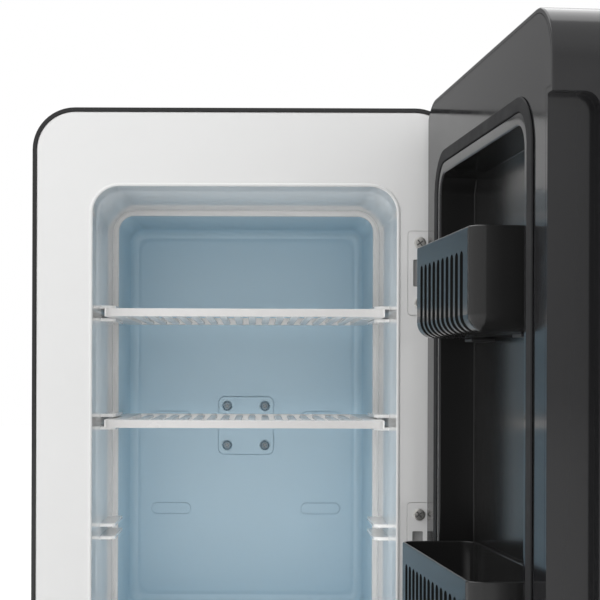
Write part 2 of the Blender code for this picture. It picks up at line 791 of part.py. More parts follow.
def make_power_inlet():
    """The mains inlet: a flanged shell with a figure-eight socket and two pins."""
    x, z = INLET_AT
    flange = rounded_box(x - 15.0, x + 15.0, z - 11.0, z + 11.0, 3.0, 3)
    flange_back = COVER_BACK + GAP + 1.6
    item = extrude("power_inlet", [flange], COVER_BACK + GAP, flange_back, "Y", BLACK_PLASTIC)
    body = rounded_box(x - 12.0, x + 12.0, z - 8.0, z + 8.0, 2.0, 3)
    join(item, extrude("inlet_body", [body], COVER_BACK - 20.0, COVER_BACK + 1.0, "Y"))
    socket = rounded_box(x - 9.5, x + 9.5, z - 4.5, z + 4.5, 4.4, 4)
    cut(item, extrude("inlet_socket", [socket], COVER_BACK - 14.0, COVER_BACK + 4.0, "Y"))
    for side, offset in (("left", -4.3), ("right", 4.3)):
        start = (x + offset, COVER_BACK - 16.0, z)
        join(item, rod(f"inlet_pin_{side}", start, (x + offset, COVER_BACK - 3.0, z), 1.2, steps=10))


def make_mode_switch():
    """A rocker switch: its housing, and the rocker that tips inside it."""
    x, z = SWITCH_AT
    back = COVER_BACK + GAP + 1.4
    flange = rounded_box(x - 11.5, x + 11.5, z - 8.5, z + 8.5, 1.5, 2)
    item = extrude("switch_housing", [flange], COVER_BACK + GAP, back, "Y", BLACK_PLASTIC)
    body = rounded_box(x - 9.5, x + 9.5, z - 6.5, z + 6.5, 1.2, 2)
    join(item, extrude("switch_body", [body], COVER_BACK - 16.0, COVER_BACK + 1.0, "Y"))
    well = rounded_box(x - 8.2, x + 8.2, z - 5.2, z + 5.2, 0.8, 2)
    cut(item, extrude("switch_well", [well], COVER_BACK - 9.0, COVER_BACK + 4.0, "Y"))
    pivot_y = COVER_BACK - 2.0
    outline = [(-7.0, -1.5), (7.0, -1.5), (7.0, 2.0), (0.0, 3.6), (-7.0, 4.6)]
    points = [(x + u, pivot_y + v) for u, v in outline]
    extrude("switch_rocker", [points], z - 4.8, z + 4.8, "Z", BLACK_PLASTIC, "rocker")


def make_control_board():
    """The board that drives the module and the fan, on the bulkhead."""
    front = FOAM_BACK + GAP + BULKHEAD_THICK + 3.0
    top = front + 1.6
    item = block("control_board", (-122.0, front, 112.0), (-66.0, top, 156.0), BOARD_GREEN)
    parts = {
        "board_coil": ((-118.0, 120.0), (-100.0, 138.0), 12.0),
        "board_capacitor": ((-94.0, 118.0), (-84.0, 128.0), 14.0),
        "board_relay": ((-92.0, 136.0), (-72.0, 150.0), 10.0),
    }
    for name, (low, high, tall) in parts.items():
        join(item, block(name, (low[0], front + 0.8, low[1]), (high[0], top + tall, high[1])))


def make_feet():
    """Four rubber feet under the casing."""
    profile = [
        (0.0, -GAP), (FOOT_RADIUS, -GAP), (FOOT_RADIUS - 0.6, 1.0 - FOOT_HIGH),
        (FOOT_RADIUS - 1.6, -FOOT_HIGH), (0.0, -FOOT_HIGH),
    ]
    for place_name, depth in zip(("front", "rear"), FOOT_DEPTHS):
        for side, x in (("left", -FOOT_X), ("right", FOOT_X)):
            turned(f"{place_name}_{side}_foot", profile, (x, depth, 0.0), (0, 0, 1), RUBBER)


# ---------------------------------------------------------------- hinges

def make_hinge(side, level):
    """A hinge plate on the front face with the ear that holds the pin, its screws and the pin."""
    half = HINGE_PLATE_HIGH / 2
    left, right, window = HINGE_WINDOW
    outlines = [rounded_box(HINGE_PLATE_LEFT, HINGE_PLATE_RIGHT, level - half, level + half, 2.0, 3)]
    outlines.append(rounded_box(left, right, level - window / 2, level + window / 2, 0.8, 2))
    for z in hinge_screw_spots(level).values():
        outlines.append(circle((HINGE_SCREW_X, z), 1.9, 12))
    front = -HINGE_PLATE_PROUD
    plate = extrude(f"{side}_hinge_plate", outlines, front, HINGE_PLATE_SUNK, "Y", HINGE_WHITE)
    ear = arc((PIVOT_X, PIVOT_Y), EAR_RADIUS, -180, 0, 10)
    inside = HINGE_PLATE_SUNK - 0.4
    right_foot = min(PIVOT_X + EAR_RADIUS, HINGE_PLATE_RIGHT - 0.5)
    ear += [(PIVOT_X + EAR_RADIUS, -3.0), (right_foot, -2.0)]
    ear += [(right_foot, inside), (PIVOT_X - EAR_RADIUS, inside)]
    low = level - EAR_THICK / 2
    high = level + EAR_THICK / 2
    join(plate, extrude(f"{side}_ear", [ear], low, high, "Z"))
    pivot = (PIVOT_X, PIVOT_Y)
    cut(plate, rod(f"{side}_ear_bore", (*pivot, low - 2.0), (*pivot, high + 2.0), PIN_RADIUS + GAP))
    end = PIN_LONG / 2
    rod(f"{side}_hinge_pin", (*pivot, level - end), (*pivot, level + end), PIN_RADIUS, STEEL)
    for spot, z in hinge_screw_spots(level).items():
        head = (HINGE_SCREW_X, front - GAP, z)
        length = HINGE_PLATE_SUNK + HINGE_PLATE_PROUD + GAP + 1.0
        name = f"{side}_hinge_screw_{spot}"
        machine_screw(name, head, (0, -1, 0), (HINGE_SCREW_HEAD, 1.0), (1.5, length))


def make_knuckle(side, level):
    """The block inside the door that turns on the pin, slotted for the hinge's ear."""
    half = KNUCKLE_LONG / 2
    low = (PIVOT_X - 12.0, PIVOT_Y - 12.0, level - half)
    high = (PIVOT_X + 4.6, PIVOT_Y + 4.6, level + half)
    item = block(f"{side}_door_knuckle", low, high, BLACK_PLASTIC, "door")
    cut(item, ear_slot(f"{side}_knuckle_slot", level))
    start = (PIVOT_X, PIVOT_Y, level - half - 2.0)
    end = (PIVOT_X, PIVOT_Y, level + half + 2.0)
    cut(item, rod(f"{side}_knuckle_bore", start, end, PIN_RADIUS + GAP, None, "door"))


def ear_slot(name, level):
    """The slot in a door piece that the hinge's ear passes through as the door swings."""
    half = EAR_THICK / 2 + 0.6
    side = EAR_RADIUS + 1.4
    behind = EAR_RADIUS + 3.2
    low = (PIVOT_X - side, PIVOT_Y - behind, level - half)
    high = (WIDTH / 2 + 5.0, 5.0, level + half)
    return block(name, low, high, None, "door")


# ---------------------------------------------------------------- door

def grip_cutter(name, grow):
    """The finger grip along the free edge, open to the door's inner side."""
    front = DOOR_INNER - GRIP_WIDE - grow
    outline = rounded_box(front, 30.0, GRIP_LOW - grow, GRIP_HIGH + grow, GRIP_RADIUS, 4)
    return extrude(name, [outline], -WIDTH / 2 - 20.0, -WIDTH / 2 + GRIP_DEEP + grow, "X", None, "door")


def hinge_edge_cutter(name, radius):
    """What lies outside the round inner edge on the hinge side, for a round of this radius."""
    centre = (WIDTH / 2 - HINGE_EDGE_RADIUS, DOOR_INNER - HINGE_EDGE_RADIUS)
    far = 30.0
    outline = arc(centre, radius, 0, 90, 6)
    outline += [(centre[0], centre[1] + far), (centre[0] + far, centre[1] + far), (centre[0] + far, centre[1])]
    return extrude(name, [outline], -20.0, HEIGHT + 20.0, "Z", None, "door")


def make_door_shell():
    """The glossy outer shell: face, sides and the round edge on the hinge side."""
    outline = body_outline(0.0)
    shell = extrude("door_outer_shell", [outline], DOOR_OUTER, DOOR_INNER, "Y", GLOSS_BLACK, "door")
    cut(shell, hinge_edge_cutter("door_hinge_round", HINGE_EDGE_RADIUS))
    inside = body_outline(SHELL_WALL)
    hollow = extrude("door_hollow", [inside], DOOR_OUTER + SHELL_WALL, 10.0, "Y", None, "door")
    cut(hollow, hinge_edge_cutter("door_hollow_round", HINGE_EDGE_RADIUS - SHELL_WALL))
    cut(hollow, grip_cutter("door_hollow_grip", SHELL_WALL))
    cut(shell, hollow, grip_cutter("door_grip", 0.0))
    for side, level in HINGE_LEVELS.items():
        cut(shell, ear_slot(f"{side}_shell_slot", level))


def make_door_liner():
    """The inner panel: flat border, raised rim, deep recess, and the ledges under the bins."""
    floor = DOOR_INNER + RIM_PROUD - RECESS_DEEP
    plate_back = DOOR_INNER - LINER_THICK
    edge = body_outline(SHELL_WALL + GAP)
    recess = centred_box(RECESS_HALF, RECESS_LOW, RECESS_HIGH, RECESS_RADIUS)
    recess_floor = centred_box(RECESS_HALF - 1.0, RECESS_LOW + 1.0, RECESS_HIGH - 1.0, RECESS_RADIUS - 1.0)
    rim = centred_box(RIM_HALF, RIM_LOW, RIM_HIGH, RECESS_RADIUS + 5.4)
    wall = LINER_THICK
    outside = centred_box(RECESS_HALF + wall, RECESS_LOW - wall, RECESS_HIGH + wall, RECESS_RADIUS + wall)
    proud = DOOR_INNER + RIM_PROUD
    sections = [
        (recess_floor, floor, "Y"),
        (recess, proud, "Y"),
        (rim, proud, "Y"),
        (rim, DOOR_INNER, "Y"),
        (edge, DOOR_INNER, "Y"),
        (edge, plate_back, "Y"),
        (outside, plate_back, "Y"),
        (outside, floor - LINER_THICK, "Y"),
    ]
    liner = loft("door_liner", sections, False, GLOSS_BLACK, "door")
    for bin_name, size in BINS.items():
        for side, x in (("left", -LEDGE_X), ("right", LEDGE_X)):
            low = (x - LEDGE[0] / 2, floor - 1.0, size["low"] - GAP - LEDGE[2])
            high = (x + LEDGE[0] / 2, floor + BIN_FLOOR_RADIUS + LEDGE[1], size["low"] - GAP)
            join(liner, block(f"{bin_name}_ledge_{side}", low, high, None, "door"))
    limit = WIDTH / 2 - HINGE_EDGE_RADIUS - GAP
    low = (limit, DOOR_INNER - 12.0, -10.0)
    high = (limit + 40.0, 10.0, HEIGHT + 10.0)
    cut(liner, block("liner_hinge_limit", low, high, None, "door"))
    cut(liner, grip_cutter("liner_grip", SHELL_WALL + GAP))
    for side, level in HINGE_LEVELS.items():
        cut(liner, ear_slot(f"{side}_liner_slot", level))


def make_door_foam():
    """The insulation inside the door."""
    clear = LINER_THICK + GAP
    back = DOOR_INNER + RIM_PROUD - RECESS_DEEP - clear
    edge = body_outline(SHELL_WALL + GAP)
    half = RECESS_HALF + clear
    tub = centred_box(half, RECESS_LOW - clear, RECESS_HIGH + clear, RECESS_RADIUS + clear)
    sections = [
        (edge, DOOR_OUTER + SHELL_WALL + GAP, "Y"),
        (edge, DOOR_INNER - clear, "Y"),
        (tub, DOOR_INNER - clear, "Y"),
        (tub, back, "Y"),
    ]
    foam = loft("door_foam", sections, False, FOAM, "door")
    cut(foam, hinge_edge_cutter("foam_hinge_round", HINGE_EDGE_RADIUS - SHELL_WALL - GAP))
    cut(foam, grip_cutter("foam_grip", SHELL_WALL + GAP))
    for side, level in HINGE_LEVELS.items():
        half = KNUCKLE_LONG / 2 + GAP
        low = (PIVOT_X - 12.0 - GAP, PIVOT_Y - 12.0 - GAP, level - half)
        high = (PIVOT_X + 30.0, PIVOT_Y + 30.0, level + half)
        cut(foam, block(f"{side}_knuckle_room", low, high, None, "door"))


def make_gasket():
    """The soft ring that seals the door against the cabinet's face."""
    outer = centred_box(GASKET_HALF, GASKET_LOW, GASKET_HIGH, RECESS_RADIUS + 15.0)
    half = RIM_HALF + GAP
    inner = centred_box(half, RIM_LOW - GAP, RIM_HIGH + GAP, RECESS_RADIUS + 5.7)
    low = DOOR_INNER + GAP
    extrude("door_gasket", [outer, inner], low, DOOR_INNER + GASKET_PROUD, "Y", RUBBER, "door")


def bin_outline(size, inset):
    """A bin's outline from above, drawn in by inset."""
    back = DOOR_INNER + RIM_PROUD - RECESS_DEEP + GAP + inset
    front = DOOR_INNER + size["front"] - inset
    half = size["half"] - inset
    corner = max(size["corner"] - inset, 0.6)
    return rounded_box(-half, half, back, front, corner, 4, BIN_BACK_RADIUS - inset)


def bin_floor(size, inset, level):
    """Sections round a bin's floor edge, from the floor to the wall."""
    sections = []
    radius = BIN_FLOOR_RADIUS - inset
    steps = 3
    for i in range(steps + 1):
        angle = math.radians(90.0 * i / steps)
        inward = inset + radius * (1 - math.sin(angle))
        sections.append((bin_outline(size, inward), level + radius * (1 - math.cos(angle)), "Z"))
    return sections


def make_bin(name):
    """A door bin, open at the top, with upright slots in its front."""
    size = BINS[name]
    sections = bin_floor(size, BIN_WALL, size["low"] + BIN_WALL)
    sections += [(bin_outline(size, BIN_WALL), size["high"], "Z"), (bin_outline(size, 0.0), size["high"], "Z")]
    sections += bin_floor(size, 0.0, size["low"])[::-1]
    item = loft(name, sections, False, GLOSS_BLACK, name)
    front = DOOR_INNER + size["front"]
    low = (-BIN_SLOT_WIDE / 2, front - BIN_SLOT_UNDER, size["low"] - 3.0)
    high = (BIN_SLOT_WIDE / 2, front + 3.0, size["high"] - BIN_SLOT_TOP)
    slots = block(name + "_slots", low, high, None, name)
    repeat(slots, size["slots"], size["pitch"])
    cut(item, slots)


def build():
    """Make every piece."""
    add_carrier("upper_shelf", (0.0, SHELF_FRONT, RAIL_LEVELS["upper"]))
    add_carrier("middle_shelf", (0.0, SHELF_FRONT, RAIL_LEVELS["middle"]))
    add_carrier("fan", (0.0, FAN_FRONT, COLD_Z))
    add_carrier("rocker", (SWITCH_AT[0], COVER_BACK - 2.0, SWITCH_AT[1]))
    for name, size in BINS.items():
        add_carrier(name, (0.0, DOOR_INNER, size["low"]), "door")
    make_outer_shell()
    make_front_frame()
    make_inner_liner()
    make_foam()
    make_rails()
    make_cold_plate()
    make_cold_block()
    make_heat_sink()
    make_fan()
    make_rear_bulkhead()
    make_rear_cover()
    make_power_inlet()
    make_mode_switch()
    make_control_board()
    make_feet()
    for side, level in HINGE_LEVELS.items():
        make_hinge(side, level)
        make_knuckle(side, level)
    make_door_shell()
    make_door_liner()
    make_door_foam()
    make_gasket()
    for name in BINS:
        make_bin(name)
    make_shelf("upper_shelf", RAIL_LEVELS["upper"])
    make_shelf("middle_shelf", RAIL_LEVELS["middle"])
    bpy.context.view_layer.update()


build()
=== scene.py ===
"""Looks for the mini fridge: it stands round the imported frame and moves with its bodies.

Lengths are in millimetres in the helpers below and become metres in the meshes.
The door's pieces are drawn with the door shut and are then swung to the frame's open rest pose.
"""
import math
import json

import bmesh
import bpy
from mathutils import Matrix, Vector


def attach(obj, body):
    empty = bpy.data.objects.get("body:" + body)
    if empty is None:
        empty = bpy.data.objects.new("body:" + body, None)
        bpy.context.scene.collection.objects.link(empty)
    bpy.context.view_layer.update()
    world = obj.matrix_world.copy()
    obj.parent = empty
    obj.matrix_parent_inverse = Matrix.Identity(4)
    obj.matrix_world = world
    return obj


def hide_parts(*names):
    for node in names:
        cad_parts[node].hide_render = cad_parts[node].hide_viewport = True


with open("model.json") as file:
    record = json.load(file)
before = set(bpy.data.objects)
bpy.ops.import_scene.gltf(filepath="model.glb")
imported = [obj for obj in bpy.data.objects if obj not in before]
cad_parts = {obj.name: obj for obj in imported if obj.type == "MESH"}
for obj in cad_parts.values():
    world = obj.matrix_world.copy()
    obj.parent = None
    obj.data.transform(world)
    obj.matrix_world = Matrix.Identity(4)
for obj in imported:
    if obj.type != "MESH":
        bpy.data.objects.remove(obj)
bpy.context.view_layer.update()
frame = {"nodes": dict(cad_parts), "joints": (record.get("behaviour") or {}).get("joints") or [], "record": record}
NODES = frame["nodes"]
JOINTS = {joint["name"]: joint for joint in frame["joints"]}
SLOTS = {part["node"]: part["material_slot"] for part in frame["record"]["subparts"]}
MM = 0.001
GAP = 0.3


# ---------------------------------------------------------------- places read from the frame

def extent(node, turn=Matrix.Identity(4)):
    """A CAD node's lowest and highest corners in millimetres, in the frame that turn leads to."""
    points = [turn @ vertex.co for vertex in NODES[node].data.vertices]
    low = Vector([min(point[i] for point in points) for i in range(3)])
    high = Vector([max(point[i] for point in points) for i in range(3)])
    return low / MM, high / MM


HINGE = JOINTS["door_hinge"]
PIVOT = Vector(HINGE["pos_m"])
SWING = Matrix.Rotation(math.radians(-HINGE["range_deg"][0]), 4, "Z")
DOOR_OPEN = Matrix.Translation(PIVOT) @ SWING @ Matrix.Translation(-PIVOT)
DOOR_SHUT = DOOR_OPEN.inverted()

SHELL_LOW, SHELL_HIGH = extent("outer_shell")
FACE = SHELL_LOW.y
HALF = SHELL_HIGH.x
HEIGHT = SHELL_HIGH.z
FRAME_LOW, FRAME_HIGH = extent("front_frame")
TUB_LOW, TUB_HIGH = extent("inner_liner")
WALL = HALF - FRAME_HIGH.x - GAP
OUTLINE_RADIUS = 29.0

# The cabinet's mouth, throat and metal tub.
MOUTH_HALF = extent("right_upper_rail")[1].x + GAP
MOUTH_LOW = 53.8
MOUTH_HIGH = 382.3
MOUTH_RADIUS = 18.4
BEAD_WIDE = 2.3
BEAD_HIGH = FACE - FRAME_LOW.y
THROAT_WALL = 2.2
THROAT_END = FRAME_HIGH.y - THROAT_WALL
STEP_IN = 4.4
TUB_RADIUS = 12.0
TUB_WALL = 1.5
TUB_BACK = TUB_HIGH.y - TUB_WALL
TUB_FILLET = 8.0

# The door, shut.
DOOR_LOW, DOOR_HIGH = extent("door_outer_shell", DOOR_SHUT)
DOOR_OUTER = DOOR_LOW.y
DOOR_INNER = DOOR_HIGH.y
RIM_PROUD = extent("door_liner", DOOR_SHUT)[1].y - DOOR_INNER
HINGE_ROUND = 9.0
RIM_HALF = 103.8
RIM_LOW = 46.0
RIM_HIGH = 390.0
RIM_RADIUS = 19.4
RECESS_DEEP = 23.0
GRIP_LOW = 45.9
GRIP_HIGH = 390.1
GRIP_DEEP = 23.5
GRIP_IN = 8.3

# The hinge plates, with the window and the ear of each.
PLATE_RIGHT = 139.0
WINDOW_LEFT = 115.0
WINDOW_RIGHT = 122.2
WINDOW_HALF = 9.15
EAR_RADIUS = 6.0
EAR_HALF = 2.0
EAR_BORE = 2.3

# The bins' walls and slots.
BIN_WALL = 2.2
BIN_FLOOR_ROUND = 10.0
BIN_SLOT_HALF = 3.6
BIN_SLOT_ROUND = 3.2
BIN_SLOT_TOP = 12.3
BIN_SLOT_UNDER = 14.0


# ---------------------------------------------------------------- outlines

def arc(centre, radius, start, end, steps):
    """Points on an arc, angles in degrees."""
    points = []
    for i in range(steps + 1):
        angle = math.radians(start + (end - start) * i / steps)
        points.append((centre[0] + radius * math.cos(angle), centre[1] + radius * math.sin(angle)))
    return points


def rounded_box(u_low, u_high, v_low, v_high, radius, steps=14, low_radius=None):
    """A rectangle with round corners; low_radius, where given, is for the two corners at v_low."""
    low = radius if low_radius is None else low_radius
    points = arc((u_high - radius, v_high - radius), radius, 0, 90, steps)
    points += arc((u_low + radius, v_high - radius), radius, 90, 180, steps)
    points += arc((u_low + low, v_low + low), low, 180, 270, steps)
    points += arc((u_high - low, v_low + low), low, 270, 360, steps)
    return points


def centred_box(half, low, high, radius, steps=14):
    """A rounded rectangle centred on the fridge's middle plane."""
    return rounded_box(-half, half, low, high, radius, steps)


def body_outline(inset):
    """The fridge's front outline, drawn in by inset."""
    return centred_box(HALF - inset, inset, HEIGHT - inset, OUTLINE_RADIUS - inset)


def mouth_outline(grow):
    """The cabinet mouth's outline, grown by grow."""
    return centred_box(MOUTH_HALF + grow, MOUTH_LOW - grow, MOUTH_HIGH + grow, MOUTH_RADIUS + grow)


def tub_outline(grow):
    """The metal tub's inner outline, grown by grow."""
    low = MOUTH_LOW + STEP_IN - grow
    high = MOUTH_HIGH - STEP_IN + grow
    return centred_box(MOUTH_HALF - STEP_IN + grow, low, high, max(TUB_RADIUS + grow, 1.0))


def circle(centre, radius, steps=32):
    """A full circle."""
    return arc(centre, radius, 0, 360 - 360 / steps, steps - 1)


# ---------------------------------------------------------------- mesh helpers

TURNS = {
    "Z": Matrix.Identity(4),
    "Y": Matrix(((1, 0, 0, 0), (0, 0, -1, 0), (0, 1, 0, 0), (0, 0, 0, 1))),
    "X": Matrix(((0, 0, 1, 0), (1, 0, 0, 0), (0, 1, 0, 0), (0, 0, 0, 1))),
}
AXES = {"X": Vector((1, 0, 0)), "Y": Vector((0, 1, 0)), "Z": Vector((0, 0, 1))}


def new_item(name, mesh):
    """Link a mesh as an object."""
    item = bpy.data.objects.new(name, mesh)
    bpy.context.scene.collection.objects.link(item)
    return item


def from_bmesh(name, work):
    """Close a bmesh into an object with its faces pointing out."""
    bmesh.ops.recalc_face_normals(work, faces=work.faces)
    mesh = bpy.data.meshes.new(name)
    work.to_mesh(mesh)
    work.free()
    return new_item(name, mesh)


def loft(name, sections, closed=False):
    """Skin a row of (outline, level, axis) sections with the same number of points."""
    work = bmesh.new()
    rings = []
    for outline, level, axis in sections:
        turn = TURNS[axis]
        lift = AXES[axis] * level
        rings.append([work.verts.new((turn @ Vector((u, v, 0.0)) + lift) * MM) for u, v in outline])
    pairs = list(zip(rings, rings[1:]))
    if closed:
        pairs.append((rings[-1], rings[0]))
    else:
        work.faces.new(rings[0])
        work.faces.new(rings[-1])
    count = len(rings[0])
    for first, second in pairs:
        for i in range(count):
            j = (i + 1) % count
            work.faces.new((first[i], first[j], second[j], second[i]))
    return from_bmesh(name, work)


def extrude(name, outlines, low, high, along):
    """Extrude flat outlines from low to high along an axis; an outline inside another is a hole."""
    curve = bpy.data.curves.new(name + "_outline", "CURVE")
    curve.dimensions = "2D"
    curve.fill_mode = "BOTH"
    curve.extrude = (high - low) / 2 * MM
    for outline in outlines:
        spline = curve.splines.new("POLY")
        spline.points.add(len(outline) - 1)
        for point, (u, v) in zip(spline.points, outline):
            point.co = (u * MM, v * MM, 0.0, 1.0)
        spline.use_cyclic_u = True
    guide = new_item(name + "_guide", curve)
    guide.matrix_world = Matrix.Translation(AXES[along] * (low + high) / 2 * MM) @ TURNS[along]
    bpy.context.view_layer.update()
    mesh = evaluated(guide)
    mesh.transform(guide.matrix_world)
    bpy.data.objects.remove(guide, do_unlink=True)
    bpy.data.curves.remove(curve)
    work = bmesh.new()
    work.from_mesh(mesh)
    bpy.data.meshes.remove(mesh)
    bmesh.ops.remove_doubles(work, verts=work.verts, dist=0.000005)
    return from_bmesh(name, work)


def block(name, low, high):
    """A box between two corners."""
    work = bmesh.new()
    bmesh.ops.create_cube(work, size=1.0)
    bmesh.ops.scale(work, vec=[(b - a) * MM for a, b in zip(low, high)], verts=work.verts)
    bmesh.ops.translate(work, vec=[(a + b) / 2 * MM for a, b in zip(low, high)], verts=work.verts)
    return from_bmesh(name, work)


def turned(name, profile, steps=40):
    """A solid of revolution about Z: profile is (radius, height), both ends on the axis."""
    work = bmesh.new()
    rings = []
    for radius, height in profile[1:-1]:
        ring = [work.verts.new((x * MM, y * MM, height * MM)) for x, y in circle((0, 0), radius, steps)]
        rings.append(ring)
    ends = [work.verts.new((0, 0, profile[i][1] * MM)) for i in (0, -1)]
    for i in range(steps):
        j = (i + 1) % steps
        work.faces.new((ends[0], rings[0][i], rings[0][j]))
        work.faces.new((ends[1], rings[-1][j], rings[-1][i]))
        for first, second in zip(rings, rings[1:]):
            work.faces.new((first[i], first[j], second[j], second[i]))
    return from_bmesh(name, work)


def evaluated(item):
    """A new mesh of an object with its modifiers applied."""
    bpy.context.view_layer.update()
    return bpy.data.meshes.new_from_object(item.evaluated_get(bpy.context.evaluated_depsgraph_get()))


def apply_modifiers(item):
    """Apply an object's modifiers to its mesh."""
    mesh = evaluated(item)
    old = item.data
    item.modifiers.clear()
    item.data = mesh
    bpy.data.meshes.remove(old)


def carve(item, cutters, operation="DIFFERENCE"):
    """Cut with, or join, helper shapes and remove them."""
    for cutter in cutters:
        change = item.modifiers.new("carve", "BOOLEAN")
        change.operation = operation
        change.solver = "EXACT"
        change.object = cutter
    apply_modifiers(item)
    for cutter in cutters:
        bpy.data.objects.remove(cutter, do_unlink=True)


def gather(item, others):
    """Add other pieces' meshes to a piece as they are, and remove them."""
    work = bmesh.new()
    work.from_mesh(item.data)
    for other in others:
        work.from_mesh(other.data)
        bpy.data.objects.remove(other, do_unlink=True)
    work.to_mesh(item.data)
    work.free()


def soften(item, width, segments=3, angle=35):
    """Round the sharp edges of a piece."""
    change = item.modifiers.new("soften", "BEVEL")
    change.width = width * MM
    change.segments = segments
    change.limit_method = "ANGLE"
    change.angle_limit = math.radians(angle)
    change.use_clamp_overlap = True
    apply_modifiers(item)


def shade(item, angle=40):
    """Shade smooth across gentle edges, and flat faces flat."""
    item.data.shade_smooth()
    item.data.set_sharp_from_angle(angle=math.radians(angle))
    change = item.modifiers.new("weigh", "WEIGHTED_NORMAL")
    change.mode = "FACE_AREA"
    change.weight = 100
    change.keep_sharp = True
    apply_modifiers(item)


def piece(item, body, material, nodes=(), swing=False):
    """Finish a piece: its material, its body, and the CAD nodes that it stands for."""
    if swing:
        item.data.transform(DOOR_OPEN)
    shade(item)
    item.data.materials.clear()
    item.data.materials.append(material)
    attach(item, body)
    if nodes:
        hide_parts(*nodes)
    return item


# ---------------------------------------------------------------- materials

def add_node(tree, kind, **values):
    """A node with its inputs and properties set."""
    node = tree.nodes.new(kind)
    for key, value in values.items():
        if key in node.inputs:
            node.inputs[key].default_value = value
        else:
            setattr(node, key, value)
    return node


def noise(tree, place, scale, detail=4.0, stretch=None):
    """A noise texture in the object's own space, in cycles per metre."""
    if stretch:
        mapping = add_node(tree, "ShaderNodeMapping", Scale=stretch)
        tree.links.new(place, mapping.inputs["Vector"])
        place = mapping.outputs["Vector"]
    texture = add_node(tree, "ShaderNodeTexNoise", Scale=scale, Detail=detail, Roughness=0.55)
    tree.links.new(place, texture.inputs["Vector"])
    return texture.outputs["Fac"]


def spread(tree, value, low, high, from_low=0.3, from_high=0.7):
    """Map a value from one range to another, held at both ends."""
    node = tree.nodes.new("ShaderNodeMapRange")
    limits = (("From Min", from_low), ("From Max", from_high), ("To Min", low), ("To Max", high))
    for name, number in limits:
        node.inputs[name].default_value = number
    tree.links.new(value, node.inputs["Value"])
    return node.outputs["Result"]


def finish_material(name, colour, roughness, metallic=0.0, ripple=0.0, ripple_scale=60.0, grain=0.0,
                    grain_scale=2500.0, smudge=0.25, tint=0.04, scratch=0.0, stretch=None,
                    specular=0.5, wear=0.0):
    """A Principled material whose colour, roughness and surface vary as a real finish does.

    ripple is the slow waviness of a moulding and grain the fine texture, both as bump heights in
    millimetres.  smudge is the share by which the roughness wanders, scratch the depth of hairlines
    and wear the lightening of edges.
    """
    result = bpy.data.materials.new(name)
    result.use_nodes = True
    tree = result.node_tree
    shader = tree.nodes["Principled BSDF"]
    shader.inputs["Metallic"].default_value = metallic
    shader.inputs["Specular IOR Level"].default_value = specular
    place = tree.nodes.new("ShaderNodeTexCoord").outputs["Object"]
    cloud = noise(tree, place, 14.0)
    blotch = noise(tree, place, 45.0, 6.0)
    tone = add_node(tree, "ShaderNodeMix", data_type="RGBA")
    tone.inputs["A"].default_value = (*[c * (1 - tint) for c in colour], 1.0)
    tone.inputs["B"].default_value = (*[min(1.0, c * (1 + tint)) for c in colour], 1.0)
    tree.links.new(cloud, tone.inputs["Factor"])
    out_colour = tone.outputs["Result"]
    if wear:
        edge = tree.nodes.new("ShaderNodeNewGeometry").outputs["Pointiness"]
        mask = spread(tree, edge, 0.0, wear, 0.52, 0.62)
        rub = add_node(tree, "ShaderNodeMath", operation="MULTIPLY")
        tree.links.new(mask, rub.inputs[0])
        tree.links.new(blotch, rub.inputs[1])
        light = add_node(tree, "ShaderNodeMix", data_type="RGBA")
        light.inputs["B"].default_value = (*[min(1.0, c + 0.18) for c in colour], 1.0)
        tree.links.new(rub.outputs[0], light.inputs["Factor"])
        tree.links.new(out_colour, light.inputs["A"])
        out_colour = light.outputs["Result"]
    tree.links.new(out_colour, shader.inputs["Base Color"])
    rough = spread(tree, blotch, roughness * (1 - smudge), roughness * (1 + smudge))
    if scratch:
        hair = noise(tree, place, 900.0, 2.0, stretch or (1.0, 1.0, 0.02))
        more = add_node(tree, "ShaderNodeMath", operation="MULTIPLY_ADD")
        tree.links.new(spread(tree, hair, 0.0, scratch, 0.62, 0.80), more.inputs[0])
        more.inputs[1].default_value = 1.0
        tree.links.new(rough, more.inputs[2])
        rough = more.outputs[0]
    tree.links.new(rough, shader.inputs["Roughness"])
    normal = None
    for height, scale in ((ripple, ripple_scale), (grain, grain_scale)):
        if not height:
            continue
        bump = add_node(tree, "ShaderNodeBump", Strength=1.0, Distance=height * MM)
        tree.links.new(noise(tree, place, scale, 3.0, stretch if height == grain else None),
                       bump.inputs["Height"])
        if normal:
            tree.links.new(normal, bump.inputs["Normal"])
        normal = bump.outputs["Normal"]
    if normal:
        tree.links.new(normal, shader.inputs["Normal"])
    return result


GLOSS_BLACK = finish_material("gloss_black", (0.011, 0.011, 0.012), 0.12, ripple=0.02, grain=0.0006,
                              smudge=0.35, scratch=0.05, wear=0.10, specular=0.42)
SHELL_BLACK = finish_material("shell_black", (0.012, 0.012, 0.012), 0.16, ripple=0.02, grain=0.001,
                              smudge=0.30, scratch=0.05, wear=0.10)
BIN_BLACK = finish_material("bin_black", (0.018, 0.018, 0.018), 0.17, ripple=0.004, smudge=0.10,
                            tint=0.02, specular=0.33)
GLOSS_WHITE = finish_material("gloss_white", (0.80, 0.80, 0.795), 0.07, ripple=0.004, grain=0.0004,
                              smudge=0.25, tint=0.01)
LINER_BLUE = finish_material("liner_blue", (0.59, 0.76, 0.86), 0.32, metallic=0.08, ripple=0.003,
                             ripple_scale=25.0, smudge=0.08, tint=0.006)
RECESS_BLACK = finish_material("recess_black", (0.014, 0.014, 0.014), 0.19, ripple=0.004, smudge=0.06,
                               tint=0.02, specular=0.29)
# Mid grey for the floor of each hinge window's well: painted shade for the dark inside of the window.
HINGE_WELL_PAINTED_SHADE = finish_material("hinge_well_painted_shade", (0.30, 0.30, 0.30), 0.40, grain=0.002)
SHELF_WHITE = finish_material("shelf_white", (0.82, 0.81, 0.80), 0.24, ripple=0.006, smudge=0.15,
                              tint=0.01)
RUBBER = finish_material("rubber", (0.016, 0.016, 0.017), 0.75, grain=0.006, grain_scale=4000.0,
                         smudge=0.15, tint=0.08, specular=0.22)
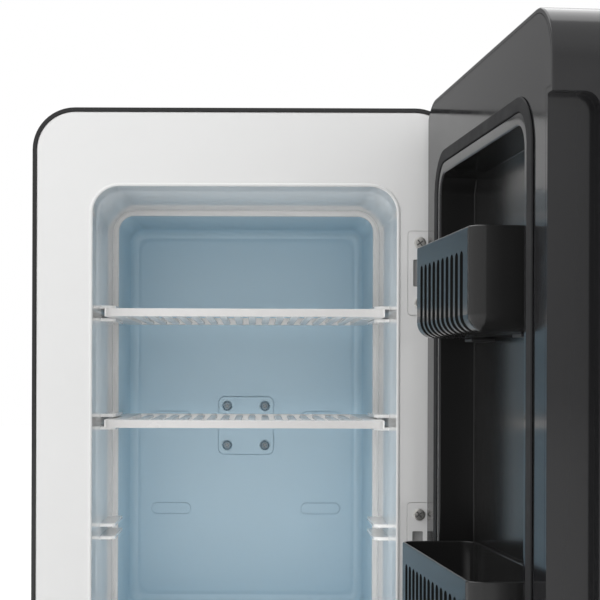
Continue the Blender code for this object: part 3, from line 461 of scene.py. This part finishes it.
STEEL = finish_material("zinc_steel", (0.56, 0.57, 0.58), 0.26, metallic=1.0, grain=0.002, smudge=0.35,
                        tint=0.08, scratch=0.15)
HINGE_STEEL = finish_material("hinge_screw_steel", (0.52, 0.51, 0.49), 0.36, metallic=1.0, grain=0.002,
                              smudge=0.3, tint=0.08, scratch=0.1)
COLD_STEEL = finish_material("cold_screw_steel", (0.27, 0.33, 0.37), 0.38, metallic=1.0, smudge=0.3,
                             tint=0.08)
# Dark grey for the cross recess of the hinge and cover screws: painted shade in the recess.
CROSS_PAINTED_SHADE = finish_material("cross_recess_painted_shade", (0.10, 0.10, 0.10), 0.5)
# Light grey for the cross recess of the cold plate's screws: a painted highlight in the recess.
CROSS_PAINTED_GLINT = finish_material("cross_painted_glint", (0.50, 0.50, 0.49), 0.5)
ALUMINIUM = finish_material("aluminium", (0.72, 0.73, 0.74), 0.34, metallic=1.0, grain=0.004,
                            stretch=(1.0, 1.0, 0.05), smudge=0.25, scratch=0.15)
MATTE_BLACK = finish_material("matte_black", (0.020, 0.020, 0.021), 0.48, grain=0.012,
                              grain_scale=1800.0, smudge=0.2, tint=0.08, wear=0.15)
FOAM = finish_material("foam", (0.80, 0.72, 0.50), 0.92, grain=0.15, grain_scale=500.0, tint=0.08)
CERAMIC = finish_material("ceramic", (0.85, 0.85, 0.82), 0.5, grain=0.004, tint=0.03)
BOARD = finish_material("board_green", (0.03, 0.16, 0.06), 0.38, grain=0.01, grain_scale=900.0, tint=0.10)

SLOT_MATERIALS = {
    "gloss_black": GLOSS_BLACK, "gloss_white": GLOSS_WHITE, "liner_metal": LINER_BLUE,
    "shelf_white": SHELF_WHITE, "foam": FOAM, "rubber": RUBBER, "steel": STEEL,
    "aluminium": ALUMINIUM, "black_plastic": MATTE_BLACK, "ceramic": CERAMIC, "board_green": BOARD,
}


def dress_frame():
    """Give every CAD node the material of its slot."""
    for node, item in NODES.items():
        item.data.materials.clear()
        item.data.materials.append(SLOT_MATERIALS[SLOTS[node]])


# ---------------------------------------------------------------- cabinet

def make_casing():
    """The thin black casing."""
    item = extrude("casing", [body_outline(0.0), body_outline(WALL)], FACE, SHELL_HIGH.y, "Y")
    soften(item, 0.9)
    piece(item, "cabinet", SHELL_BLACK, ["outer_shell"])


def make_front():
    """The white face, the bead round the mouth, the throat and the step behind it."""
    edge = WALL + GAP
    lip = 0.8
    sections = [(body_outline(edge + lip), FACE, "Y")]
    bead = BEAD_WIDE / 2
    for i in range(9):
        angle = math.pi * i / 8
        outline = mouth_outline(bead + bead * math.cos(angle))
        sections.append((outline, FACE - BEAD_HIGH * math.sin(angle), "Y"))
    fillet = 2.0
    for i in range(5):
        angle = math.pi / 2 * i / 4
        inward = fillet * (1 - math.cos(angle))
        sections.append((mouth_outline(-inward), THROAT_END - fillet + fillet * math.sin(angle), "Y"))
    nose = 1.4
    for i in range(5):
        angle = math.pi / 2 * i / 4
        grow = nose * (1 - math.sin(angle))
        sections.append((tub_outline(grow), THROAT_END + nose * (1 - math.cos(angle)), "Y"))
    sections += [
        (tub_outline(0.0), FRAME_HIGH.y, "Y"),
        (mouth_outline(THROAT_WALL), FRAME_HIGH.y, "Y"),
        (mouth_outline(THROAT_WALL), FACE + 2.5, "Y"),
        (body_outline(edge), FACE + 2.5, "Y"),
        (body_outline(edge), FACE + lip, "Y"),
    ]
    item = loft("front_panel", sections, closed=True)
    cutters = []
    for side in ("upper", "lower"):
        low, high = extent(f"{side}_hinge_plate")
        middle = (low.z + high.z) / 2
        seat = rounded_box(low.x - 0.4, PLATE_RIGHT + 0.4, low.z - 0.4, high.z + 0.4, 2.4, 6)
        cutters.append(extrude("seat", [seat], FACE - 1.0, FACE + 1.0, "Y"))
        well = rounded_box(WINDOW_LEFT - 0.4, WINDOW_RIGHT + 0.4,
                           middle - WINDOW_HALF - 0.4, middle + WINDOW_HALF + 0.4, 1.0, 4)
        cutters.append(extrude("well", [well], FACE - 1.2, FACE + 2.1, "Y"))
        # A grey block at the bottom of each window's well: painted shade, not a part of the hinge.
        floor = block(f"{side}_hinge_well",
                      (WINDOW_LEFT - 0.2, FACE + 1.5, middle - WINDOW_HALF - 0.15),
                      (WINDOW_RIGHT + 0.2, FACE + 2.2, middle + WINDOW_HALF + 0.15))
        piece(floor, "cabinet", HINGE_WELL_PAINTED_SHADE)
    carve(item, cutters)
    piece(item, "cabinet", GLOSS_WHITE, ["front_frame"])


def tub_back_sections(wall, back, steps=8):
    """Sections round the tub's back edge, from the flat back to the side wall."""
    sections = []
    for i in range(steps + 1):
        angle = math.pi / 2 * i / steps
        inward = TUB_FILLET * (1 - math.sin(angle)) - wall
        sections.append((tub_outline(-inward), back - TUB_FILLET * (1 - math.cos(angle)), "Y"))
    return sections


def make_tub():
    """The pale blue metal tub with its pressed back wall."""
    flange = TUB_LOW.y
    panel = centred_box(89.0, 69.7, 366.8, 9.0)
    foot = centred_box(93.0, 65.7, 370.8, 13.0)
    middle = centred_box(91.0, 67.7, 368.8, 11.0)
    sections = [(panel, TUB_BACK - 0.4, "Y"), (middle, TUB_BACK - 0.22, "Y"), (foot, TUB_BACK, "Y")]
    sections += tub_back_sections(0.0, TUB_BACK)
    reach = STEP_IN + THROAT_WALL - 1.0
    sections += [
        (tub_outline(0.0), flange, "Y"),
        (tub_outline(reach), flange, "Y"),
        (tub_outline(reach), flange + TUB_WALL, "Y"),
        (tub_outline(TUB_WALL), flange + TUB_WALL, "Y"),
    ]
    sections += tub_back_sections(TUB_WALL, TUB_BACK + TUB_WALL)[::-1]
    item = loft("metal_tub", sections)
    back = TUB_BACK - 0.4
    low, high = extent("cold_plate")
    seam = rounded_box(low.x - 0.8, high.x + 0.8, low.z - 0.8, high.z + 0.8, 5.3, 8)
    cutters = [extrude("seam", [seam], back - 1.0, back + 1.2, "Y")]
    for row, z in (("lower", 139.9), ("upper", 217.9)):
        for side, x in (("left", -63.7), ("right", 63.7)):
            seam = rounded_box(x - 17.1, x + 17.1, z - 5.15, z + 5.15, 5.1, 10)
            cutters.append(extrude("seam", [seam], back - 1.0, back + 0.9, "Y"))
            outline = rounded_box(x - 16.3, x + 16.3, z - 4.35, z + 4.35, 4.3, 10)
            pill = extrude(f"pressed_pill_{row}_{side}", [outline], back - 0.7, back + 0.8, "Y")
            soften(pill, 0.65, 4)
            piece(pill, "cabinet", LINER_BLUE)
    carve(item, cutters)
    piece(item, "cabinet", LINER_BLUE, ["inner_liner"])


def make_rails():
    """The shelf rails: two lips on the throat's wall with the shelf's slot between them."""
    for node in [name for name in NODES if name.endswith("_rail")]:
        low, high = extent(node)
        sign = 1 if high.x > 0 else -1
        wall = max(abs(low.x), abs(high.x)) + 1.0
        tip = min(abs(low.x), abs(high.x))
        lip = 2.2
        nose = 5.5
        plan = arc((tip + nose, low.y + nose), nose, 180, 270, 10)
        plan += [(wall, low.y), (wall, high.y), (tip, high.y)]
        plan = [(sign * x, y) for x, y in plan]
        item = extrude(node + "_moulding", [plan], low.z, low.z + lip, "Z")
        soften(item, 0.6)
        upper = extrude("upper_lip", [plan], high.z - lip, high.z, "Z")
        soften(upper, 0.6)
        gather(item, [upper])
        piece(item, "cabinet", GLOSS_WHITE, [node])


def make_shelf(node):
    """A slatted shelf: four bars round a field of slats."""
    low, high = extent(node)
    bar = 9.0
    count = 18
    pitch = 10.3
    slat = 5.6
    bottom = low.z + 0.05 if node == "upper_shelf" else high.z - 3.4
    inner = (count - 1) * pitch / 2 - slat / 2
    outline = rounded_box(low.x, high.x, low.y, high.y, 4.0, 6)
    hole = rounded_box(-inner, inner, low.y + bar, high.y - bar, 0.6, 3)
    item = extrude(node + "_grid", [outline, hole], low.z, high.z, "Z")
    soften(item, 0.9, 4)
    strips = []
    for i in range(1, count - 1):
        x = (i - (count - 1) / 2) * pitch
        strip = block("strip", (x - slat / 2, low.y + bar - 1.5, bottom),
                      (x + slat / 2, high.y - bar + 1.5, bottom + 2.4))
        soften(strip, 0.9, 3)
        strips.append(strip)
    gather(item, strips)
    piece(item, node, SHELF_WHITE, [node])


# ---------------------------------------------------------------- screws and small metal

def phillips_master(radius, height):
    """A pan head with a cross recess, head up, its underside at the origin."""
    profile = [(0.0, height)]
    for i in range(1, 9):
        angle = math.pi / 2 * i / 8
        out = radius * (0.72 + 0.28 * math.sin(angle))
        profile.append((out, height * (0.3 + 0.62 * math.cos(angle))))
    profile += [(radius, 0.0), (radius * 0.4, 0.0), (radius * 0.4, -1.0), (0.0, -1.0)]
    item = turned("screw_master", profile, 48)
    cutters = []
    for turn in (0.0, math.pi / 2):
        arm = block("arm", (-radius * 0.62, -radius * 0.11, height * 0.15),
                    (radius * 0.62, radius * 0.11, height * 2.0))
        arm.data.transform(Matrix.Rotation(turn + math.pi / 5, 4, "Z"))
        cutters.append(arm)
    carve(item, cutters)
    return item


def make_screws():
    """Cross-head screws in place of every CAD screw."""
    masters = {}
    for node in [name for name in NODES if "screw" in name]:
        low, high = extent(node)
        radius = (high.x - low.x) / 2
        back = node.startswith("cover")
        head = {"cover": 1.6, "cold_": 1.1}.get(node[:5], 1.0)
        if radius not in masters:
            masters[radius] = phillips_master(radius, head)
        cross = []
        for polygon in masters[radius].data.polygons:
            centre = polygon.center / MM
            if centre.xy.length < radius * 0.64 and 0.1 * head < centre.z < 0.6 * head:
                cross.append(polygon.index)
        base = high.y - head if back else low.y + head
        tilt = Matrix.Rotation(math.radians(-90 if back else 90), 4, "X")
        spot = Vector(((low.x + high.x) / 2, base, (low.z + high.z) / 2)) * MM
        item = new_item(node + "_head", masters[radius].data.copy())
        item.data.transform(Matrix.Translation(spot) @ tilt)
        cold = node.startswith("cold")
        steel = STEEL if back else COLD_STEEL if cold else HINGE_STEEL
        piece(item, "cabinet", steel, [node])
        # The cross recess faces take a second material: a painted highlight on the cold plate's screws, painted
        # shade on the others.
        item.data.materials.append(CROSS_PAINTED_GLINT if cold else CROSS_PAINTED_SHADE)
        for number in cross:
            item.data.polygons[number].material_index = 1
    for master in masters.values():
        bpy.data.objects.remove(master, do_unlink=True)


def make_cold_plate():
    """The plate on the back wall, with a round seat for each screw."""
    low, high = extent("cold_plate")
    outlines = [rounded_box(low.x, high.x, low.z, high.z, 4.5, 8)]
    for node in [name for name in NODES if name.startswith("cold_screw")]:
        screw_low, screw_high = extent(node)
        centre = ((screw_low.x + screw_high.x) / 2, (screw_low.z + screw_high.z) / 2)
        outlines.append(circle(centre, 4.3))
    item = extrude("pressed_plate", outlines, low.y, TUB_BACK + 0.6, "Y")
    soften(item, 0.6, 3)
    piece(item, "cabinet", LINER_BLUE, ["cold_plate"])


def make_hinge_plate(side):
    """A hinge plate with its window and the ear that carries the pin."""
    node = f"{side}_hinge_plate"
    low, high = extent(node)
    middle = (low.z + high.z) / 2
    front = extent("upper_hinge_screw_top")[0].y + 1.0 + GAP
    outlines = [
        rounded_box(low.x, PLATE_RIGHT, low.z, high.z, 2.0, 6),
        rounded_box(WINDOW_LEFT, WINDOW_RIGHT, middle - WINDOW_HALF, middle + WINDOW_HALF, 0.8, 4),
    ]
    item = extrude(node + "_cover", outlines, front, FACE + 0.9, "Y")
    soften(item, 0.3, 2)
    pivot = (PIVOT.x / MM, PIVOT.y / MM)
    foot = PLATE_RIGHT - 0.5
    outline = arc(pivot, EAR_RADIUS, -180, 0, 16)
    outline += [(pivot[0] + EAR_RADIUS, FACE - 3.0), (foot, FACE - 2.0)]
    outline += [(foot, FACE + 0.3), (pivot[0] - EAR_RADIUS, FACE + 0.3)]
    bore = circle(pivot, EAR_BORE, 24)
    ear = extrude("ear", [outline, bore], middle - EAR_HALF, middle + EAR_HALF, "Z")
    carve(item, [ear], "UNION")
    piece(item, "cabinet", GLOSS_WHITE, [node])


# ---------------------------------------------------------------- door

def hinge_round(radius):
    """What lies outside the door's round inner edge on the hinge side."""
    centre = (HALF - HINGE_ROUND, DOOR_INNER - HINGE_ROUND)
    far = 30.0
    outline = arc(centre, radius, 0, 90, 18)
    outline += [(centre[0], centre[1] + far), (centre[0] + far, centre[1] + far)]
    outline.append((centre[0] + far, centre[1]))
    return extrude("hinge_round", [outline], -20.0, HEIGHT + 20.0, "Z")


def grip_shape(grow):
    """The finger grip along the free edge."""
    outline = rounded_box(DOOR_INNER - GRIP_DEEP - grow, DOOR_INNER + 30.0,
                          GRIP_LOW - grow, GRIP_HIGH + grow, 8.0, 12)
    item = extrude("grip", [outline], -HALF - 20.0, -HALF + GRIP_IN + grow, "X")
    soften(item, 1.0, 4)
    return item


def ear_slots():
    """The two slots that the hinge ears pass through."""
    slots = []
    for side in ("upper", "lower"):
        low, high = extent(f"{side}_hinge_plate")
        middle = (low.z + high.z) / 2
        corner = (PIVOT.x / MM - 7.4, PIVOT.y / MM - 9.2, middle - 2.6)
        slots.append(block("slot", corner, (HALF + 5.0, DOOR_INNER + 7.3, middle + 2.6)))
    return slots


def rounded_slab(name, inset, low, high, low_round, high_round):
    """The door's outline as a slab along Y with a quarter round at each face."""
    sections = []
    for i in range(9):
        angle = math.pi / 2 * i / 8
        grow = low_round * (1 - math.sin(angle))
        sections.append((body_outline(inset + grow), low + low_round * (1 - math.cos(angle)), "Y"))
    for i in range(5):
        angle = math.pi / 2 * (4 - i) / 4
        grow = high_round * (1 - math.sin(angle))
        level = high - high_round * (1 - math.cos(angle))
        sections.append((body_outline(inset + grow), level, "Y"))
    return loft(name, sections)


def make_door_shell():
    """The glossy door shell with its round edges and finger grip."""
    item = rounded_slab("door_casing", 0.0, DOOR_OUTER, DOOR_INNER, 5.0, 1.2)
    hollow = rounded_slab("hollow", WALL, DOOR_OUTER + WALL, DOOR_INNER + 10.0, 3.0, 0.5)
    carve(hollow, [hinge_round(HINGE_ROUND - WALL), grip_shape(WALL)])
    carve(item, [hinge_round(HINGE_ROUND), hollow, grip_shape(0.0)] + ear_slots())
    piece(item, "door", GLOSS_BLACK, ["door_outer_shell"], swing=True)


def make_door_liner():
    """The inner panel: flat border, raised rim and deep recess."""
    edge = body_outline(WALL + GAP)
    proud = DOOR_INNER + RIM_PROUD
    floor = proud - RECESS_DEEP
    recess_half, recess_low, recess_high, radius = 98.4, 53.0, 383.0, 14.0

    def recess(grow):
        return centred_box(recess_half + grow, recess_low - grow, recess_high + grow, radius + grow)

    sections = []
    fillet = 0.7
    for i in range(7):
        angle = math.pi / 2 * i / 6
        inward = 1.0 + fillet * (1 - math.sin(angle))
        sections.append((recess(-inward), floor + fillet * (1 - math.cos(angle)), "Y"))
    nose = 1.2
    for i in range(5):
        angle = math.pi / 2 * i / 4
        grow = nose * (1 - math.cos(angle))
        sections.append((recess(grow), proud - nose * (1 - math.sin(angle)), "Y"))

    def rim(grow):
        return centred_box(RIM_HALF + grow, RIM_LOW - grow, RIM_HIGH + grow, RIM_RADIUS + grow)

    sections += [
        (rim(-0.6), proud, "Y"),
        (rim(-0.2), proud - 0.2, "Y"),
        (rim(0.0), DOOR_INNER, "Y"),
        (edge, DOOR_INNER, "Y"),
        (edge, DOOR_INNER - 2.0, "Y"),
        (recess(2.0), DOOR_INNER - 2.0, "Y"),
        (recess(1.0), floor - 2.0, "Y"),
    ]
    item = loft("door_inner_panel", sections)
    limit = HALF - HINGE_ROUND - GAP
    keep_off = block("limit", (limit, DOOR_INNER - 12.0, -10.0),
                     (limit + 40.0, DOOR_INNER + 12.0, HEIGHT + 10.0))
    carve(item, [keep_off, grip_shape(WALL + GAP)] + ear_slots())
    piece(item, "door", GLOSS_BLACK, ["door_liner"], swing=True)
    item.data.materials.append(RECESS_BLACK)
    for polygon in item.data.polygons:
        if (DOOR_SHUT @ polygon.center).y / MM < DOOR_INNER - 0.6:
            polygon.material_index = 1
    for name in ("upper_bin", "lower_bin"):
        bin_low = extent(name, DOOR_SHUT)[0]
        for side, x in (("left", -55.0), ("right", 55.0)):
            low = (x - 9.0, floor - 0.8, bin_low.z - GAP - 1.8)
            high = (x + 9.0, floor + 14.5, bin_low.z - GAP)
            ledge = block(f"{name}_ledge_{side}", low, high)
            soften(ledge, 0.5)
            piece(ledge, "door", MATTE_BLACK, swing=True)


def make_gasket():
    """The soft seal round the liner's rim."""
    low, high = extent("door_gasket", DOOR_SHUT)
    inner_half = RIM_HALF + GAP
    wide = high.x - inner_half
    base = low.y
    crown = high.y
    profile = [
        (0.0, base), (0.0, crown - 0.35), (0.35, crown - 0.05), (0.8, crown), (wide - 1.0, crown),
        (wide - 0.3, crown - 0.2), (wide, crown - 0.6), (wide, base),
    ]
    sections = []
    for out, y in profile:
        upright = GAP + out * 7.7 / wide
        outline = centred_box(inner_half + out, RIM_LOW - upright, RIM_HIGH + upright,
                              RIM_RADIUS + GAP + out)
        sections.append((outline, y, "Y"))
    item = loft("door_seal", sections, closed=True)
    piece(item, "door", RUBBER, ["door_gasket"], swing=True)


BIN_STYLES = {
    "upper_bin": {"corner": 8.5, "slots": 10, "pitch": 11.6},
    "lower_bin": {"corner": 8.5, "slots": 14, "pitch": 11.0},
}


def make_bin(name):
    """A door bin with upright slots that wrap under its round lower edge."""
    low, high = extent(name, DOOR_SHUT)
    style = BIN_STYLES[name]

    def outline(inset):
        return rounded_box(low.x + inset, high.x - inset, low.y + inset, high.y - inset,
                           max(style["corner"] - inset, 0.6), 14, 11.0 - inset)

    def floor_sections(inset, level):
        radius = BIN_FLOOR_ROUND - inset
        rows = []
        for i in range(8):
            angle = math.pi / 2 * i / 7
            inward = inset + radius * (1 - math.sin(angle))
            rows.append((outline(min(inward, 10.6)), level + radius * (1 - math.cos(angle)), "Z"))
        return rows

    sections = floor_sections(BIN_WALL, low.z + BIN_WALL)
    for i in range(7):
        angle = math.pi * i / 6
        inset = BIN_WALL / 2 + BIN_WALL / 2 * math.cos(angle)
        sections.append((outline(inset), high.z - 0.9 + 0.9 * math.sin(angle), "Z"))
    sections += floor_sections(0.0, low.z)[::-1]
    item = loft(name + "_basket", sections)
    cutters = []
    for i in range(style["slots"]):
        x = (i - (style["slots"] - 1) / 2) * style["pitch"]
        shape = rounded_box(x - BIN_SLOT_HALF, x + BIN_SLOT_HALF, low.z - 6.0, high.z - BIN_SLOT_TOP,
                            BIN_SLOT_ROUND, 8)
        cutters.append(extrude("slot", [shape], high.y - BIN_SLOT_UNDER, high.y + 3.0, "Y"))
    carve(item, cutters)
    piece(item, name, BIN_BLACK, [name], swing=True)


# ---------------------------------------------------------------- back and underside

def make_rear_cover():
    """The slotted rear cover."""
    low, high = extent("rear_cover")
    sink_low, sink_high = extent("heat_sink")
    middle = (sink_low.z + sink_high.z) / 2
    outlines = [body_outline(WALL + GAP)]
    for offset, count in ((10.0, 13), (140.0, 6)):
        for i in range(count):
            z = middle + offset + (i - (count - 1) / 2) * 9.6
            outlines.append(rounded_box(-75.0, 75.0, z - 2.3, z + 2.3, 2.25, 6))
    for node, grow in (("power_inlet", -2.8), ("switch_housing", -1.8)):
        inner_low, inner_high = extent(node)
        outlines.append(rounded_box(inner_low.x - grow, inner_high.x + grow,
                                    inner_low.z - grow, inner_high.z + grow, 2.0, 5))
    item = extrude("slotted_cover", outlines, low.y, high.y, "Y")
    soften(item, 0.5, 2)
    piece(item, "cabinet", MATTE_BLACK, ["rear_cover"])


def make_feet():
    """The four rubber feet."""
    for node in [name for name in NODES if name.endswith("_foot")]:
        low, high = extent(node)
        radius = (high.x - low.x) / 2
        top = high.z
        profile = [(0.0, top), (radius - 0.5, top), (radius, top - 0.5), (radius, top - 2.0)]
        profile += [(radius - 0.9, top - 2.6), (radius - 0.9, top - 3.2), (radius - 0.4, top - 3.8)]
        profile += [(radius - 1.0, low.z + 1.0), (radius - 1.8, low.z + 0.25), (radius - 2.6, low.z)]
        profile += [(radius - 4.5, low.z), (radius - 5.5, low.z + 0.9), (0.0, low.z + 0.9)]
        item = turned(node + "_pad", profile)
        centre = Vector(((low.x + high.x) / 2, (low.y + high.y) / 2, 0.0))
        item.data.transform(Matrix.Translation(centre * MM))
        piece(item, "cabinet", RUBBER, [node])


# ---------------------------------------------------------------- studio

def make_camera():
    """A long lens square to the front, a little right of the middle."""
    camera = bpy.data.cameras.new("camera")
    camera.sensor_width = 36.0
    camera.lens = 85.7
    camera.shift_x = 0.0765
    camera.shift_y = 0.1257
    camera.clip_start = 0.01
    item = bpy.data.objects.new("camera", camera)
    bpy.context.scene.collection.objects.link(item)
    item.location = Vector((6.7, FACE - 974.6, 253.4)) * MM
    item.rotation_mode = "XYZ"
    look = Matrix.Rotation(math.radians(90.0), 4, "X") @ Matrix.Rotation(math.radians(0.195), 4, "Z")
    item.rotation_euler = look.to_euler()
    bpy.context.scene.camera = item


def area_light(name, place, aim, size, power):
    """A soft rectangular light that neither the camera nor a reflection shows."""
    lamp = bpy.data.lights.new(name, "AREA")
    lamp.shape = "RECTANGLE"
    lamp.size = size[0]
    lamp.size_y = size[1]
    lamp.energy = power
    item = bpy.data.objects.new(name, lamp)
    bpy.context.scene.collection.objects.link(item)
    item.location = place
    item.rotation_euler = (Vector(aim) - Vector(place)).to_track_quat("-Z", "Y").to_euler()
    item.visible_camera = False
    item.visible_glossy = False


def make_studio():
    """A pale floor in a room that the camera sees as plain white.

    The room lights the object more from above, less from behind on the left, and most from a panel
    high behind.  A soft box hangs over the front, and a one-sided light behind the shelves' front
    edges brightens the cavity.
    """
    world = bpy.data.worlds.new("studio")
    world.use_nodes = True
    tree = world.node_tree
    split = tree.nodes.new("ShaderNodeSeparateXYZ")
    tree.links.new(tree.nodes.new("ShaderNodeTexCoord").outputs["Generated"], split.inputs[0])
    ceiling = spread(tree, split.outputs["Z"], 0.78, 1.2, 0.05, 0.6)
    left = spread(tree, split.outputs["X"], 0.0, 0.57, 0.06, -0.06)
    behind = spread(tree, split.outputs["Y"], 0.0, 1.0, 0.2, 0.6)
    panel_high = spread(tree, split.outputs["Z"], 0.0, 1.7, 0.50, 0.56)
    panel_back = spread(tree, split.outputs["Y"], 0.0, 1.0, 0.0, 0.05)
    shade_left = add_node(tree, "ShaderNodeMath", operation="MULTIPLY")
    tree.links.new(left, shade_left.inputs[0])
    tree.links.new(behind, shade_left.inputs[1])
    keep = add_node(tree, "ShaderNodeMath", operation="SUBTRACT")
    keep.inputs[0].default_value = 1.0
    tree.links.new(shade_left.outputs[0], keep.inputs[1])
    panel = add_node(tree, "ShaderNodeMath", operation="MULTIPLY")
    tree.links.new(panel_high, panel.inputs[0])
    tree.links.new(panel_back, panel.inputs[1])
    room = add_node(tree, "ShaderNodeMath", operation="MULTIPLY_ADD")
    tree.links.new(ceiling, room.inputs[0])
    tree.links.new(keep.outputs[0], room.inputs[1])
    tree.links.new(panel.outputs[0], room.inputs[2])
    seen = add_node(tree, "ShaderNodeMix", data_type="FLOAT")
    tree.links.new(tree.nodes.new("ShaderNodeLightPath").outputs["Is Camera Ray"], seen.inputs["Factor"])
    tree.links.new(room.outputs[0], seen.inputs["A"])
    seen.inputs["B"].default_value = 1.0
    background = tree.nodes["Background"]
    background.inputs["Color"].default_value = (1.0, 1.0, 1.0, 1.0)
    tree.links.new(seen.outputs["Result"], background.inputs["Strength"])
    bpy.context.scene.world = world
    floor_level = extent("front_left_foot")[0].z
    work = bmesh.new()
    bmesh.ops.create_grid(work, x_segments=1, y_segments=1, size=6.0)
    bmesh.ops.translate(work, vec=(0.0, 0.0, floor_level * MM), verts=work.verts)
    floor = from_bmesh("floor", work)
    for polygon in floor.data.polygons:
        if polygon.normal.z < 0:
            floor.data.flip_normals()
            break
    pale = bpy.data.materials.new("pale_floor")
    pale.use_nodes = True
    shader = pale.node_tree.nodes["Principled BSDF"]
    shader.inputs["Base Color"].default_value = (0.66, 0.66, 0.66, 1.0)
    shader.inputs["Roughness"].default_value = 0.85
    floor.data.materials.append(pale)
    area_light("top_softbox", (-0.6, -0.5, 1.7), (0.0, 0.0, 0.25), (1.4, 1.4), 6.0)
    front = (extent("upper_shelf")[0].y + 1.0) * MM
    area_light("cavity_fill", (0.0, front, 0.218), (0.0, front + 1.0, 0.218), (0.225, 0.32), 0.12)
    bpy.context.scene.view_settings.view_transform = "Standard"


# ---------------------------------------------------------------- build

make_camera()
make_studio()
dress_frame()
make_casing()
make_front()
make_tub()
make_rails()
make_shelf("upper_shelf")
make_shelf("middle_shelf")
make_screws()
make_cold_plate()
make_hinge_plate("upper")
make_hinge_plate("lower")
make_door_shell()
make_door_liner()
make_gasket()
make_bin("upper_bin")
make_bin("lower_bin")
make_rear_cover()
make_feet()
